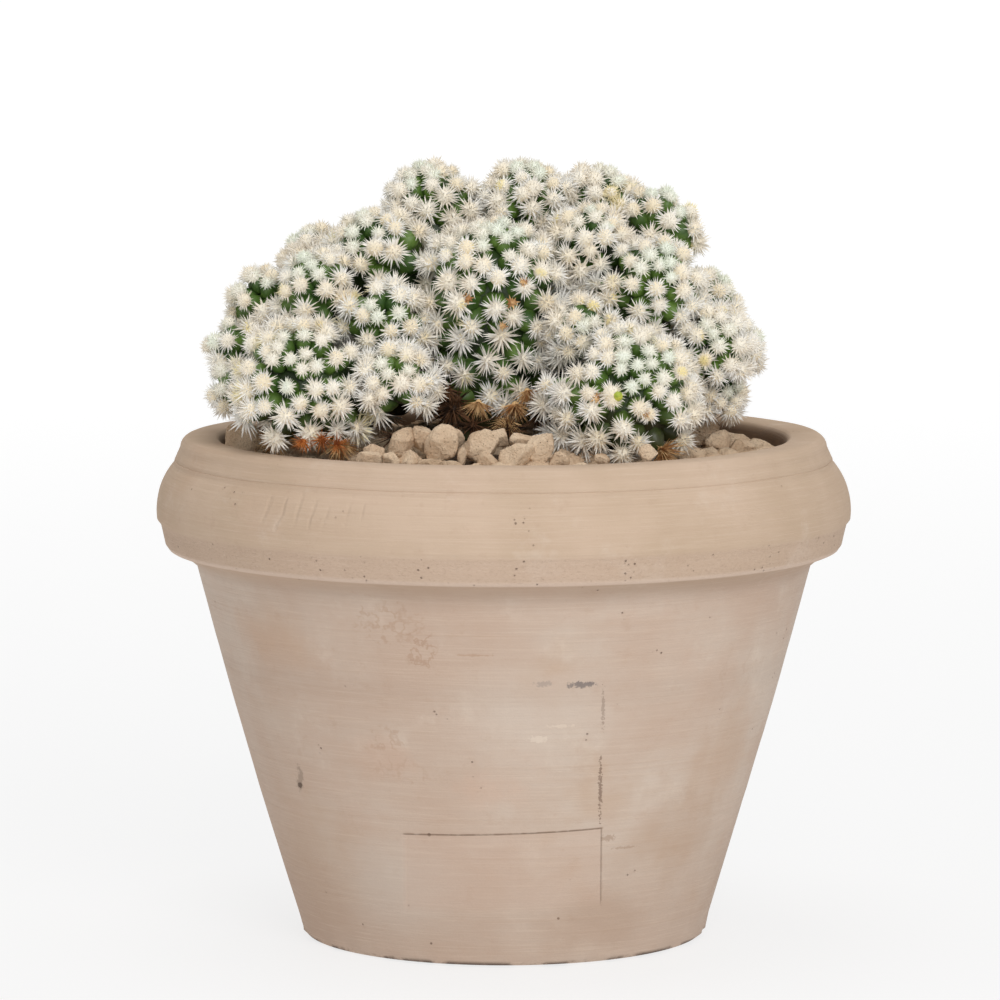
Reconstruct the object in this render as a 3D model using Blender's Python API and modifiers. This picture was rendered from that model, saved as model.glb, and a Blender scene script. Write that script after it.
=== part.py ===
"""Potted mammillaria: a clump of spiny heads in a terracotta pot, on soil under pumice gravel.

Metres, +Z up. The origin is the middle of the pot's base, and the front looks along -Y.
"""

from math import atan, atan2, asin, cos, exp, hypot, pi, radians, sin, sqrt, tau
from random import Random

import bmesh
import bpy
from mathutils import Matrix, Quaternion, Vector

GAP = 0.0003  # between meshes that touch

# Pot
POT_HEIGHT = 0.1011
POT_STEPS = 40
LIP_OUTER = 0.0652
LIP_INNER = 0.0567
LIP_ROUND = 0.0022
BEVEL = (0.0662, 0.0966)  # the faint edge between the lip and the roll
ROLL_RADIUS = 0.0143  # of the roll's own curve
RIM_RADIUS = 0.0701  # the rim's widest ring
RIM_WIDEST_Z = 0.0862
ROLL_TOP_TURN = 42  # degrees above the widest ring where the roll's curve starts
BAND_TOP = (0.0693, 0.0838)  # the rough band under the roll
BAND_FOOT = (0.0683, 0.0796)
BAND_EDGE = (0.0676, 0.0788)
UNDERSIDE = (0.0630, 0.0783)
WALL_TOP = (0.0623, 0.0772)
WALL_FOOT = (0.0409, 0.0014)
WALL_BULGE = 0.0005
WALL_SPANS = 3
BASE_RADIUS = 0.0396
FLOOR_THICKNESS = 0.007
INNER_FOOT = (0.0336, FLOOR_THICKNESS)
INNER_SHOULDER = (0.0552, 0.0765)
DRAIN_RADIUS = 0.006

# Soil and gravel
SOIL_TOP = 0.0925
BED_EDGE_Z = 0.0956
BED_RISE = 0.0034  # from the edge to the middle
HEAP_PLACE = (-0.003, -0.038)
HEAP_RISE = 0.0026
HEAP_REACH = 0.018
BED_RINGS = (0.052, 0.042, 0.030, 0.016)
BED_STEPS = 24
STONE_COUNT = 60
STONE_SEED = 13
STONE_SIZES = (0.0021, 0.0038)
STONE_RING = (0.020, 0.0535)
HEAD_CLEARANCE = 0.0015  # a stone's point this near a head is kept under the head's floor
BIG_STONES = (
    # x, y, half size
    (-0.0520, -0.0165, 0.0042),
    (-0.0124, -0.0445, 0.0037),
    (-0.0042, -0.0440, 0.0035),
    (0.0030, -0.0490, 0.0042),
    (0.0075, -0.0415, 0.0033),
    (-0.0172, -0.0400, 0.0027),
    (-0.0205, -0.0465, 0.0034),
    (-0.0262, -0.0478, 0.0030),
    (0.0415, 0.0010, 0.0034),
    (0.0450, 0.0060, 0.0032),
    (0.0290, -0.0478, 0.0021),
)

# Plant
ROOT = Vector((0.0, 0.004, 0.100))  # the place that the heads grow from
CELL = 0.0128  # width of a tubercle's cell round a head's side
TUBERCLE_HEIGHT = 0.0020
AREOLE = 0.0013  # width of the small pad on a tubercle's tip
SPINE_LENGTH = 0.0035
SPINE_LEAN = radians(47)
SPINE_REACH = 0.0014  # how far the spines stand above the tubercles
TAIL_TAPER = 0.30
TAIL_STEP = 0.05
TAIL_ROOM = 0.0030  # what a tail keeps between its axis and the neighbours
LONGEST_TAIL = 0.75
SEEN_BODY = 0.9  # length of body that shows behind a crown's centre, in radii
TWIST = 0.16  # turn of each row against the last, which makes the rows spirals
FLOOR_OVER_GRAVEL = 0.0993
FLOOR_OVER_RIM = 0.1015
RIM_REACH = 0.0545
MOTHER = "head_centre"
MOTHER_FOOT = (-0.0030, -0.0095, 0.107)
STEM_RADIUS = 0.0055
STEM_TOP = 0.106
STEM_FOOT = 0.083
HEADS = (
    # name, centre of the crown's curve, radius over the spines, direction of the crown
    ("head_centre", (-0.0024, -0.0125, 0.1315), 0.0156, (0.05, -0.50, 0.86)),
    ("head_front_left", (-0.0393, -0.0280, 0.1131), 0.0154, (-0.10, -0.80, 0.58)),
    ("head_front_right", (0.0236, -0.0300, 0.1112), 0.0163, (0.20, -0.80, 0.56)),
    ("head_small_left", (-0.0213, -0.0325, 0.1144), 0.0094, (0.02, -0.88, 0.47)),
    ("head_mid_left", (-0.0242, -0.0208, 0.1252), 0.0100, (0.10, -0.92, 0.38)),
    ("head_mid_right", (0.0155, -0.0230, 0.1240), 0.0080, (0.10, -0.93, 0.35)),
    ("head_upper_left", (-0.0252, -0.0040, 0.1360), 0.0126, (-0.28, -0.58, 0.76)),
    ("head_left", (-0.0366, -0.0138, 0.1300), 0.0108, (-0.30, -0.62, 0.72)),
    ("head_left_outer", (-0.0468, -0.0050, 0.1270), 0.0100, (-0.50, -0.50, 0.70)),
    ("head_far_left", (-0.0530, -0.0100, 0.1195), 0.0080, (-0.75, -0.40, 0.52)),
    ("head_far_left_low", (-0.0520, -0.0150, 0.1120), 0.0082, (-0.80, -0.55, 0.20)),
    ("head_left_back", (-0.0372, 0.0120, 0.1340), 0.0098, (-0.50, 0.10, 0.85)),
    ("head_top_left", (-0.0150, 0.0110, 0.1452), 0.0116, (-0.15, -0.35, 0.92)),
    ("head_top", (0.0044, 0.0115, 0.1462), 0.0112, (0.05, -0.35, 0.93)),
    ("head_top_right", (0.0192, 0.0165, 0.1450), 0.0108, (0.15, -0.25, 0.95)),
    ("head_right_top", (0.0303, 0.0110, 0.1406), 0.0109, (0.30, -0.35, 0.88)),
    ("head_upper_middle", (0.0172, -0.0030, 0.1385), 0.0106, (0.08, -0.62, 0.78)),
    ("head_right", (0.0286, -0.0090, 0.1300), 0.0130, (0.25, -0.70, 0.66)),
    ("head_right_front", (0.0408, -0.0110, 0.1190), 0.0104, (0.15, -0.83, 0.53)),
    ("head_right_low", (0.0420, -0.0070, 0.1105), 0.0076, (0.70, -0.65, 0.10)),
    ("head_right_back", (0.0395, 0.0110, 0.1248), 0.0104, (0.55, 0.00, 0.84)),
    ("head_far_right", (0.0470, 0.0060, 0.1180), 0.0074, (0.85, -0.20, 0.45)),
    ("head_left_side", (-0.0480, 0.0060, 0.1160), 0.0116, (-0.85, 0.15, 0.45)),
    ("head_back_upper_left", (-0.0260, 0.0290, 0.1290), 0.0118, (-0.40, 0.45, 0.80)),
    ("head_back_upper", (-0.0030, 0.0320, 0.1345), 0.0122, (-0.05, 0.50, 0.86)),
    ("head_back_upper_right", (0.0210, 0.0310, 0.1290), 0.0118, (0.35, 0.50, 0.80)),
    ("head_back_left", (-0.0360, 0.0310, 0.1120), 0.0118, (-0.60, 0.60, 0.50)),
    ("head_back", (-0.0120, 0.0440, 0.1130), 0.0118, (-0.15, 0.85, 0.50)),
    ("head_back_right", (0.0130, 0.0440, 0.1125), 0.0116, (0.20, 0.85, 0.50)),
    ("head_right_side", (0.0350, 0.0280, 0.1130), 0.0118, (0.70, 0.50, 0.50)),
)

COLOURS = {
    # base colour, roughness
    "terracotta": ((0.560, 0.410, 0.310), 0.85),
    "soil": ((0.060, 0.042, 0.030), 0.95),
    "pumice": ((0.600, 0.450, 0.320), 0.90),
    "flesh": ((0.075, 0.130, 0.035), 0.50),
    "spines": ((0.850, 0.790, 0.690), 0.55),
}


class Head:
    """A head's place: a straight axis from its crown's centre to its foot, and the planes that bound it."""

    def __init__(self, name, centre, radius, crown):
        self.name = name
        self.centre = Vector(centre)
        self.radius = radius
        self.crown = Vector(crown).normalized()
        self.foot = Vector(MOTHER_FOOT) if name == MOTHER else self.centre.lerp(ROOT, 0.01)
        over_rim = name == MOTHER or hypot(self.centre.x, self.centre.y) + radius > RIM_REACH
        self.floor = FLOOR_OVER_RIM if over_rim else FLOOR_OVER_GRAVEL
        self.core = radius - TUBERCLE_HEIGHT - SPINE_REACH

    def nearest(self, point):
        """The point of the head's axis that is nearest to a point."""
        along = self.foot - self.centre
        share = (point - self.centre).dot(along) / along.length_squared
        return self.centre + along * min(1, max(0, share))

    def distance(self, point):
        return (point - self.nearest(point)).length

    def taper(self, axis_point):
        """The body's share of its full radius at a point of the axis."""
        share = (axis_point - self.centre).length / (self.foot - self.centre).length
        return 1 - TAIL_TAPER * share * share

    def set_planes(self, heads):
        """Each plane is (outward normal, offset). No two heads cross the plane between them."""
        self.planes = [(Vector((0, 0, -1)), -self.floor)]
        for other in heads:
            if other is self:
                continue
            start = self.nearest(other.centre) if self.name == MOTHER else self.centre
            end = other.nearest(self.centre) if other.name == MOTHER else other.centre
            between = end - start
            share = self.radius / (self.radius + other.radius)
            normal = between.normalized()
            self.planes.append((normal, normal.dot(start) + between.length * share - GAP / 2))

    def grow(self):
        """Runs the body on towards the plant's root while it has room between its neighbours."""
        if self.name == MOTHER:
            return
        share = TAIL_STEP
        while share < LONGEST_TAIL and self.depth(self.centre.lerp(ROOT, share + TAIL_STEP)) > TAIL_ROOM:
            share += TAIL_STEP
        self.foot = self.centre.lerp(ROOT, share)

    def room(self, start, direction):
        """How far a line can run from a point inside the head before it meets a plane."""
        free = 1.0
        for normal, offset in self.planes:
            slope = normal.dot(direction)
            if slope > 0:
                free = min(free, (offset - normal.dot(start)) / slope)
        return free

    def depth(self, point):
        """How far a point lies inside the nearest plane."""
        return min(offset - normal.dot(point) for normal, offset in self.planes)


def clear_scene():
    for item in list(bpy.data.objects):
        bpy.data.objects.remove(item, do_unlink=True)


def collection(name, hidden=False):
    made = bpy.data.collections.new(name)
    bpy.context.scene.collection.children.link(made)
    made.hide_render = hidden
    return made


def material(name):
    colour, roughness = COLOURS[name]
    made = bpy.data.materials.new(name)
    made.use_nodes = True
    shader = made.node_tree.nodes["Principled BSDF"]
    shader.inputs["Base Color"].default_value = (*colour, 1)
    shader.inputs["Roughness"].default_value = roughness
    shader.inputs["Metallic"].default_value = 0
    return made


def add_object(name, mesh, where, finish=None, sharp=35):
    made = bpy.data.objects.new(name, mesh)
    where.objects.link(made)
    mesh.shade_smooth()
    mesh.set_sharp_from_angle(angle=radians(sharp))
    if finish:
        mesh.materials.append(finish)
    return made


def mesh_of(bm, name):
    mesh = bpy.data.meshes.new(name)
    bm.to_mesh(mesh)
    bm.free()
    return mesh


def applied(item):
    """Bakes an object's modifiers into its mesh, and keeps only its main body."""
    graph = bpy.context.evaluated_depsgraph_get()
    mesh = bpy.data.meshes.new_from_object(item.evaluated_get(graph))
    item.modifiers.clear()
    item.data = mesh
    bm = bmesh.new()
    bm.from_mesh(mesh)
    keep_main_body(bm)
    bm.to_mesh(mesh)
    bm.free()
    mesh.shade_smooth()
    mesh.set_sharp_from_angle(angle=radians(35))


def keep_main_body(bm):
    """Drops what a union left loose, and any hollow that it sealed."""
    left = set(bm.faces)
    bodies = []
    while left:
        body, front = set(), [left.pop()]
        while front:
            face = front.pop()
            body.add(face)
            for edge in face.edges:
                for beside in edge.link_faces:
                    if beside in left:
                        left.remove(beside)
                        front.append(beside)
        bodies.append(body)
    bodies.sort(key=len)
    loose = [face for body in bodies[:-1] for face in body]
    bmesh.ops.delete(bm, geom=loose, context="FACES")


def arc(centre, radius, start, end, steps):
    """Points (r, z) on a circle, between two angles in degrees."""
    turns = (radians(start + (end - start) * k / steps) for k in range(steps + 1))
    return [(centre[0] + radius * cos(turn), centre[1] + radius * sin(turn)) for turn in turns]


def turned(name, outline, steps, where, finish, closed):
    """A solid of revolution round Z, from an outline of (r, z) points."""
    mesh = bpy.data.meshes.new(name)
    count = len(outline)
    edges = [(k, k + 1) for k in range(count - 1)] + ([(count - 1, 0)] if closed else [])
    mesh.from_pydata([(r, 0, z) for r, z in outline], edges, [])
    made = add_object(name, mesh, where, finish)
    screw = made.modifiers.new("Turn", "SCREW")
    screw.axis = "Z"
    screw.steps = steps
    screw.render_steps = steps
    screw.use_merge_vertices = True
    screw.merge_threshold = 0.00001
    screw.use_smooth_shade = True
    return made


def wall_outline():
    """The outside of the wall from top to foot, a little fuller in the middle."""
    points = []
    for k in range(WALL_SPANS + 1):
        share = k / WALL_SPANS
        radius = WALL_TOP[0] + (WALL_FOOT[0] - WALL_TOP[0]) * share + WALL_BULGE * sin(pi * share)
        points.append((radius, WALL_TOP[1] + (WALL_FOOT[1] - WALL_TOP[1]) * share))
    return points


def make_pot(where):
    lip_z = POT_HEIGHT - LIP_ROUND
    roll_centre = (RIM_RADIUS - ROLL_RADIUS, RIM_WIDEST_Z)
    outline = arc((LIP_OUTER - LIP_ROUND, lip_z), LIP_ROUND, 90, 0, 2)
    outline += [BEVEL]
    outline += arc(roll_centre, ROLL_RADIUS, ROLL_TOP_TURN, -6, 4)
    outline += [BAND_TOP, BAND_FOOT, BAND_EDGE, UNDERSIDE]
    outline += wall_outline()
    outline += [(BASE_RADIUS, 0), (DRAIN_RADIUS, 0), (DRAIN_RADIUS, FLOOR_THICKNESS)]
    outline += [INNER_FOOT, (INNER_FOOT[0] + 0.0024, FLOOR_THICKNESS + 0.0018), INNER_SHOULDER]
    outline += arc((LIP_INNER + LIP_ROUND, lip_z), LIP_ROUND, 180, 90, 2)
    turned("pot", outline, POT_STEPS, where, material("terracotta"), closed=True)


def inside_radius(z):
    """The pot's inner radius at a height."""
    low = (INNER_FOOT[0] + 0.0024, FLOOR_THICKNESS + 0.0018)
    high = INNER_SHOULDER
    if z > high[1]:
        low, high = high, (LIP_INNER, POT_HEIGHT - LIP_ROUND)
    return low[0] + (high[0] - low[0]) * (z - low[1]) / (high[1] - low[1])


def bed_height(x, y):
    """The top of the gravel's bed: a low dome, heaped at the front."""
    dome = BED_RISE * (1 - (hypot(x, y) / LIP_INNER) ** 2)
    away = hypot(x - HEAP_PLACE[0], y - HEAP_PLACE[1]) / HEAP_REACH
    return BED_EDGE_Z + dome + HEAP_RISE * exp(-away * away)


def stem_cutter(cutters):
    """A plain round hole for the mother head's stem."""
    bm = bmesh.new()
    radius = STEM_RADIUS + GAP + 0.0002
    low = STEM_FOOT - GAP
    high = STEM_TOP + 0.01
    place = Matrix.Translation((MOTHER_FOOT[0], MOTHER_FOOT[1], (low + high) / 2))
    bmesh.ops.create_cone(
        bm, cap_ends=True, segments=20, radius1=radius, radius2=radius, depth=high - low, matrix=place
    )
    cutter = add_object("stem_hole", mesh_of(bm, "stem_hole"), cutters)
    cutter.display_type = "WIRE"
    cutter.hide_render = True
    return cutter


def cut(item, cutter):
    hole = item.modifiers.new("Stem hole", "BOOLEAN")
    hole.operation = "DIFFERENCE"
    hole.solver = "EXACT"
    hole.object = cutter


def make_soil(where, cutter):
    slack = GAP + 0.0002
    foot_z = FLOOR_THICKNESS + GAP
    outline = [
        (0, SOIL_TOP),
        (inside_radius(SOIL_TOP) - slack, SOIL_TOP),
        (inside_radius(INNER_SHOULDER[1]) - slack, INNER_SHOULDER[1]),
        (inside_radius(FLOOR_THICKNESS + 0.0018) - slack, FLOOR_THICKNESS + 0.0022),
        (INNER_FOOT[0] - slack, foot_z),
        (0, foot_z),
    ]
    soil = turned("soil", outline, BED_STEPS, where, material("soil"), closed=False)
    cut(soil, cutter)


def stone_mesh(centre, size, draw, heads):
    """A rough pebble, kept inside the pot and clear of the heads."""
    bm = bmesh.new()
    turn = Quaternion((draw.gauss(0, 1), draw.gauss(0, 1), draw.gauss(0, 1)), draw.uniform(0, tau))
    stretch = Vector((draw.uniform(0.95, 1.2), draw.uniform(0.8, 1.0), draw.uniform(0.65, 0.85))) * size
    bmesh.ops.create_icosphere(bm, subdivisions=1, radius=1)
    for vert in bm.verts:
        point = vert.co * draw.uniform(0.86, 1.08)
        point = turn @ Vector((point.x * stretch.x, point.y * stretch.y, point.z * stretch.z)) + centre
        vert.co = settled(point, heads, draw.uniform(0.0005, 0.0012))
    return mesh_of(bm, "stone")


def settled(point, heads, clearance):
    """Moves a stone's point in from the pot's wall, and down from under a head."""
    limit = inside_radius(min(point.z, POT_HEIGHT)) - clearance
    reach = hypot(point.x, point.y)
    if reach > limit:
        point.x *= limit / reach
        point.y *= limit / reach
    for head in heads:
        top = head.floor - clearance
        if point.z > top and head.distance(point) < head.radius + HEAD_CLEARANCE:
            point.z = top
    return point


def stone_places(draw):
    """(x, y, half size) of every stone: the big ones, then the small ones on a jittered spiral."""
    yield from BIG_STONES
    golden = pi * (3 - sqrt(5))
    inner, outer = STONE_RING
    for k in range(STONE_COUNT):
        reach = sqrt(inner**2 + (outer**2 - inner**2) * (k + 0.5) / STONE_COUNT)
        reach += draw.uniform(-0.001, 0.001)
        turn = k * golden + draw.uniform(-0.06, 0.06)
        x, y, size = reach * sin(turn), -reach * cos(turn), draw.uniform(*STONE_SIZES)
        if all(hypot(x - bx, y - by) > 0.8 * (size + big) for bx, by, big in BIG_STONES):
            yield x, y, size


def hidden_under(x, y, heads):
    """Whether a place on the gravel lies deep under a low head."""
    point = Vector((x, y, 0))
    for head in heads:
        flat = Vector((head.centre.x, head.centre.y, 0))
        if (point - flat).length < head.radius - 0.006 and head.centre.z < 0.125:
            return True
    return False


def make_gravel(where, heads, cutter):
    slack = GAP + 0.0002
    under = SOIL_TOP + GAP
    rings = [(inside_radius(BED_EDGE_Z) - slack, BED_EDGE_Z)] + [(r, BED_EDGE_Z) for r in BED_RINGS]
    outline = [(0, BED_EDGE_Z)] + rings[::-1] + [(inside_radius(under) - slack, under), (0, under)]
    bed = turned("gravel", outline, BED_STEPS, where, material("pumice"), closed=False)
    applied(bed)
    for vert in bed.data.vertices:
        if vert.co.z > BED_EDGE_Z - 0.0001:
            vert.co.z = bed_height(vert.co.x, vert.co.y)
    draw = Random(STONE_SEED)
    stones = collection("gravel_stones")
    for x, y, size in stone_places(draw):
        if hidden_under(x, y, heads):
            continue
        centre = Vector((x, y, bed_height(x, y) + 0.35 * size))
        add_object("stone", stone_mesh(centre, size, draw, heads), stones)
    join(bed, stones, "MANIFOLD")
    cut(bed, cutter)


def join(item, parts, solver="EXACT"):
    """Fuses a collection's objects to an object by one union, then removes them."""
    union = item.modifiers.new("Fuse", "BOOLEAN")
    union.operation = "UNION"
    union.solver = solver
    union.operand_type = "COLLECTION"
    union.collection = parts
    applied(item)
    for part in list(parts.objects):
        bpy.data.objects.remove(part, do_unlink=True)
    bpy.data.collections.remove(parts)


def diamond_globe(columns, rows):
    """A globe of diamond cells: its squares are poked and its own lines dissolved.

    Returns the mesh and each vertex's (row, turn), with rows counted down from the crown.
    """
    bm = bmesh.new()
    bmesh.ops.create_uvsphere(bm, u_segments=columns, v_segments=rows, radius=1)
    place = {}
    for vert in bm.verts:
        row = rows / 2 - asin(max(-1, min(1, vert.co.z))) / pi * rows
        place[vert] = (round(row), atan2(vert.co.y, vert.co.x))
    lines = bm.edges[:]
    for vert in bmesh.ops.poke(bm, faces=bm.faces[:])["verts"]:
        around = [place[edge.other_vert(vert)][0] for edge in vert.link_edges]
        place[vert] = ((min(around) + max(around)) / 2, atan2(vert.co.y, vert.co.x))
    bmesh.ops.dissolve_edges(bm, edges=lines, use_verts=False)
    return bm, place


class Surface:
    """Where a head's rows of cells lie: a dome round the crown, then rings down the body to its foot."""

    def __init__(self, head):
        self.head = head
        self.columns = max(4, round(tau * (head.core + TUBERCLE_HEIGHT / 2) / CELL))
        self.pitch = tau / self.columns
        self.dome_rows = 1 + (self.columns > 4)
        body = head.foot - head.centre
        self.down = body.normalized()
        seen = min(1, SEEN_BODY * head.radius / body.length)
        if head.name == MOTHER:
            seen = 1
        self.seen_share = seen
        self.seen_rows = max(1, round(seen * body.length / (self.pitch * head.core)))
        self.side_rows = self.seen_rows + (seen < 1)
        self.rows = self.dome_rows + self.side_rows + 1
        self.lean = head.crown.rotation_difference(-self.down)
        side = head.crown.orthogonal().normalized()
        self.axes = side, head.crown.cross(side)

    def share_down(self, past):
        """The share of the body that a row past the dome lies down it: even cells, then one long row."""
        if past <= self.seen_rows:
            return self.seen_share * past / self.seen_rows
        return min(1, self.seen_share + (1 - self.seen_share) * (past - self.seen_rows))

    def ray(self, row, turn):
        """(start on the axis, direction, length) of the line that ends at a place on the core."""
        head = self.head
        turn += TWIST * row
        past = row - self.dome_rows
        if row >= self.rows:
            return head.foot, self.down, head.core * 0.4
        if past <= 0:
            polar = 2 * atan(exp(past * self.pitch)) if row else 0
            start, length, lean = head.centre, head.core, Quaternion()
        else:
            share = self.share_down(past)
            polar = pi / 2
            start = head.centre.lerp(head.foot, share)
            length = head.core * (1 - TAIL_TAPER * share * share)
            lean = Quaternion().slerp(self.lean, share)
            if past > self.side_rows:
                polar, length = radians(125), length * 0.8
        across, over = self.axes
        flat = across * cos(turn) + over * sin(turn)
        return start, lean @ (flat * sin(polar) + head.crown * cos(polar)), length


def make_head(head, where, finishes):
    surface = Surface(head)
    bm, place = diamond_globe(surface.columns, surface.rows)
    pressed = set()
    for vert in bm.verts:
        start, direction, length = surface.ray(*place[vert])
        free = head.room(start, direction)
        if free < length:
            pressed.add(vert)
        vert.co = start + direction * min(length, free)
    bm.normal_update()
    for face in bm.faces[:]:
        if not pressed.issuperset(face.verts) and shows(head, face):
            raise_tubercle(bm, face, head)
    made = add_object(head.name, mesh_of(bm, head.name), where)
    for finish in finishes:
        made.data.materials.append(finish)
    if head.name == MOTHER:
        add_stem(made)


def shows(head, face):
    """Whether a cell looks out of the clump."""
    middle = face.calc_center_median()
    outward = middle - ROOT
    if face.normal.z < -0.65 or face.normal.dot(outward.normalized()) < -0.15:
        return False
    return outward.length > 0.5 * (head.centre - ROOT).length


def raise_tubercle(bm, face, head):
    """Draws a cell out into a cone, and its tip's four parts into spines."""
    middle = face.calc_center_median()
    width = sqrt(2 * face.calc_area())
    size = min(1, width / CELL * 1.15)
    axis_point = head.nearest(middle)
    normal = (middle - axis_point).normalized()
    height = head.core * head.taper(axis_point) + TUBERCLE_HEIGHT
    height = min(height, head.room(axis_point, normal) - AREOLE)
    pad_centre = axis_point + normal * height
    corners = [pad_centre + (vert.co - middle) * min(0.5, AREOLE / width) for vert in face.verts]
    if height < (middle - axis_point).length or min(map(head.depth, corners)) < 0:
        return
    pad = bmesh.ops.extrude_discrete_faces(bm, faces=[face])["faces"][0]
    for vert, corner in zip(pad.verts, corners):
        vert.co = corner
    for part in bmesh.ops.poke(bm, faces=[pad])["faces"]:
        start = part.calc_center_median()
        outward = start - pad_centre
        outward = (outward - normal * outward.dot(normal)).normalized()
        direction = normal * cos(SPINE_LEAN) + outward * sin(SPINE_LEAN)
        length = min(SPINE_LENGTH * (0.25 + 0.75 * size), head.room(start, direction))
        if length < 0.0004:
            continue
        spine = bmesh.ops.poke(bm, faces=[part])
        spine["verts"][0].co = start + direction * length
        for side in spine["faces"]:
            side.material_index = 1


def add_stem(item):
    """The mother head's stem, which stands in its hole through the gravel into the soil."""
    stems = collection("stem")
    bm = bmesh.new()
    middle = Matrix.Translation((MOTHER_FOOT[0], MOTHER_FOOT[1], (STEM_FOOT + STEM_TOP) / 2))
    bmesh.ops.create_cone(
        bm,
        cap_ends=True,
        segments=12,
        radius1=STEM_RADIUS * 0.9,
        radius2=STEM_RADIUS,
        depth=STEM_TOP - STEM_FOOT,
        matrix=middle,
    )
    add_object("stem", mesh_of(bm, "stem"), stems)
    join(item, stems)


def main():
    clear_scene()
    parts = collection("potted_mammillaria")
    cutters = collection("cutters", hidden=True)
    heads = [Head(*row) for row in HEADS]
    for head in heads:
        head.set_planes(heads)
        head.grow()
    cutter = stem_cutter(cutters)
    make_pot(parts)
    make_soil(parts, cutter)
    make_gravel(parts, heads, cutter)
    finishes = material("flesh"), material("spines")
    for head in heads:
        make_head(head, parts, finishes)


main()
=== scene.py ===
"""The dressed scene of a potted mammillaria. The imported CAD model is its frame.

Metres, +Z up, and the side that the photograph shows faces -Y.
"""

from math import acos, atan2, cos, exp, hypot, pi, radians, sin, sqrt, tau
from random import Random

import bmesh
import bpy
from mathutils import Matrix, Quaternion, Vector, noise


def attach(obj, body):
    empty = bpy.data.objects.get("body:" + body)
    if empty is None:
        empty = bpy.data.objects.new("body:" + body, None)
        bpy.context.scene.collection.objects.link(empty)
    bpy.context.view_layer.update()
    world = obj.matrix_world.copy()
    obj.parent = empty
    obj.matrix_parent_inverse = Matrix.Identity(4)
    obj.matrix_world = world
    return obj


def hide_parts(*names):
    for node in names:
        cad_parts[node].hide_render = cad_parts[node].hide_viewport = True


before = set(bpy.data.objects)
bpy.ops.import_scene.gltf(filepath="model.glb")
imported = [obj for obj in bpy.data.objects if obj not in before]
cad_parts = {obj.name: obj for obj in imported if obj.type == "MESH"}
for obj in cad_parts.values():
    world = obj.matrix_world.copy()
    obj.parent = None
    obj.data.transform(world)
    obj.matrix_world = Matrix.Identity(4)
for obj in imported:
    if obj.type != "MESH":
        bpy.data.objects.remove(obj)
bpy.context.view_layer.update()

GOLDEN = pi * (3 - sqrt(5))

# Camera and floor
CAMERA_PLACE = (0, -1.150, 0.2162)
CAMERA_PITCH = 0.1112  # radians below the horizon
CAMERA_LENS = 206.09
CAMERA_SHIFT = -0.00384
FLOOR_REACH = 12
# The floor's glow is painted light: it washes out the shadows on the floor.
FLOOR_GLOW = 0.92
FLOOR_NEAR = 0.81  # of the glow, where the pot stands: dimmer there as painted shade
FLOOR_FADE = (-0.3, 2.0)  # from here to here along Y, to the full glow
FLOOR_DROP = 0.0002  # under the pot's foot
WORLD_LIGHT = 0.45
LIGHT_TARGET = (0, 0, 0.08)
LIGHTS = (
    # name, place, size, power
    ("key", (0.34, -1.28, 0.80), 0.8, 10.5),
    ("top", (-0.10, 0.10, 1.60), 1.0, 6.5),
)

# Pot
POT_HEIGHT = 0.1011
POT_STEPS = 216
LIP_OUTER = 0.0652
LIP_INNER = 0.0567
LIP_ROUND = 0.0022
BEVEL = (0.0662, 0.0966)
GROOVE = 0.00012  # between the bevel and the roll
ROLL_RADIUS = 0.0143
RIM_RADIUS = 0.0701
RIM_WIDEST_Z = 0.0862
BAND_TOP = (0.0693, 0.0838)
BAND_FOOT = (0.0683, 0.0796)
BAND_EDGE = (0.0677, 0.0787)
UNDERSIDE = (0.0644, 0.0774)
WALL_TOP = (0.0621, 0.0755)
WALL_FOOT = (0.0409, 0.0014)
WALL_BULGE = 0.0005
WALL_SPANS = 26
FOOT_EDGE = ((0.0407, 0.0006), (0.0402, 0.0001))
BASE_RADIUS = 0.0396
FLOOR_THICKNESS = 0.007
INNER_FOOT = (0.0336, FLOOR_THICKNESS)
INNER_FILLET = (0.0024, 0.0018)
INNER_SHOULDER = (0.0552, 0.0765)
INNER_LIP_DROP = 0.002
DRAIN_RADIUS = 0.006

# The unevenness of a pot that was turned by hand
THROWN_WAVE = 0.00022
THROWN_RIPPLE = 0.00007
THROWN_RIDGE = 0.00005
ROUGH_FOOT_TO = 0.004
ROUGH_FOOT = 0.0005
RIM_FROM = 0.095
RIM_WAVE = 0.00025

# The plain impressed field on the pot's front
FIELD_LEFT = -0.0201
FIELD_RIGHT = 0.0192
FIELD_TOP = 0.0278
FIELD_FOOT = 0.0105
FIELD_TILT = 0.031
FIELD_DEPTH = 0.0005

# The row of slanting press marks on the left of the rim
PRESS_PLACE = (-0.0385, -0.0560, 0.0915)
PRESS_REACH = (0.0190, 0.0200, 0.0040)
PRESS_SPACING = 0.0031
PRESS_SLANT = 0.35

# Gravel
BED_EDGE_Z = 0.0956
BED_RISE = 0.0034
BED_FOOT_Z = 0.0930
BED_ROUGHNESS = 0.0006
BED_FREE = 0.0005  # from the pot
HEAP_PLACE = (-0.003, -0.038)
HEAP_RISE = 0.0034
HEAP_REACH = 0.018
HEAP_CLEAR = 0.012  # no small stones this near the heap's middle, where the big ones lie
SMALL_STONES = 1000
SMALL_STONE_SIZES = (0.0013, 0.0027)
STONE_STRAY = 0.0008
STONE_TURN_STRAY = 0.05
STONE_FREE = 0.0004  # from the pot
SHADED_UNDER = 0.125  # a head whose centre is lower shades the gravel
SHADE_INSET = 0.005  # of the shade from a head's spines
STONE_FLATS = 9
STONE_FLAT_OFFSETS = (0.55, 0.82)
STONE_FLATTENING = 0.95
STONE_LUMPS = 0.16
STONE_SWELL = 1.10  # makes up for what the flats take off
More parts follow.
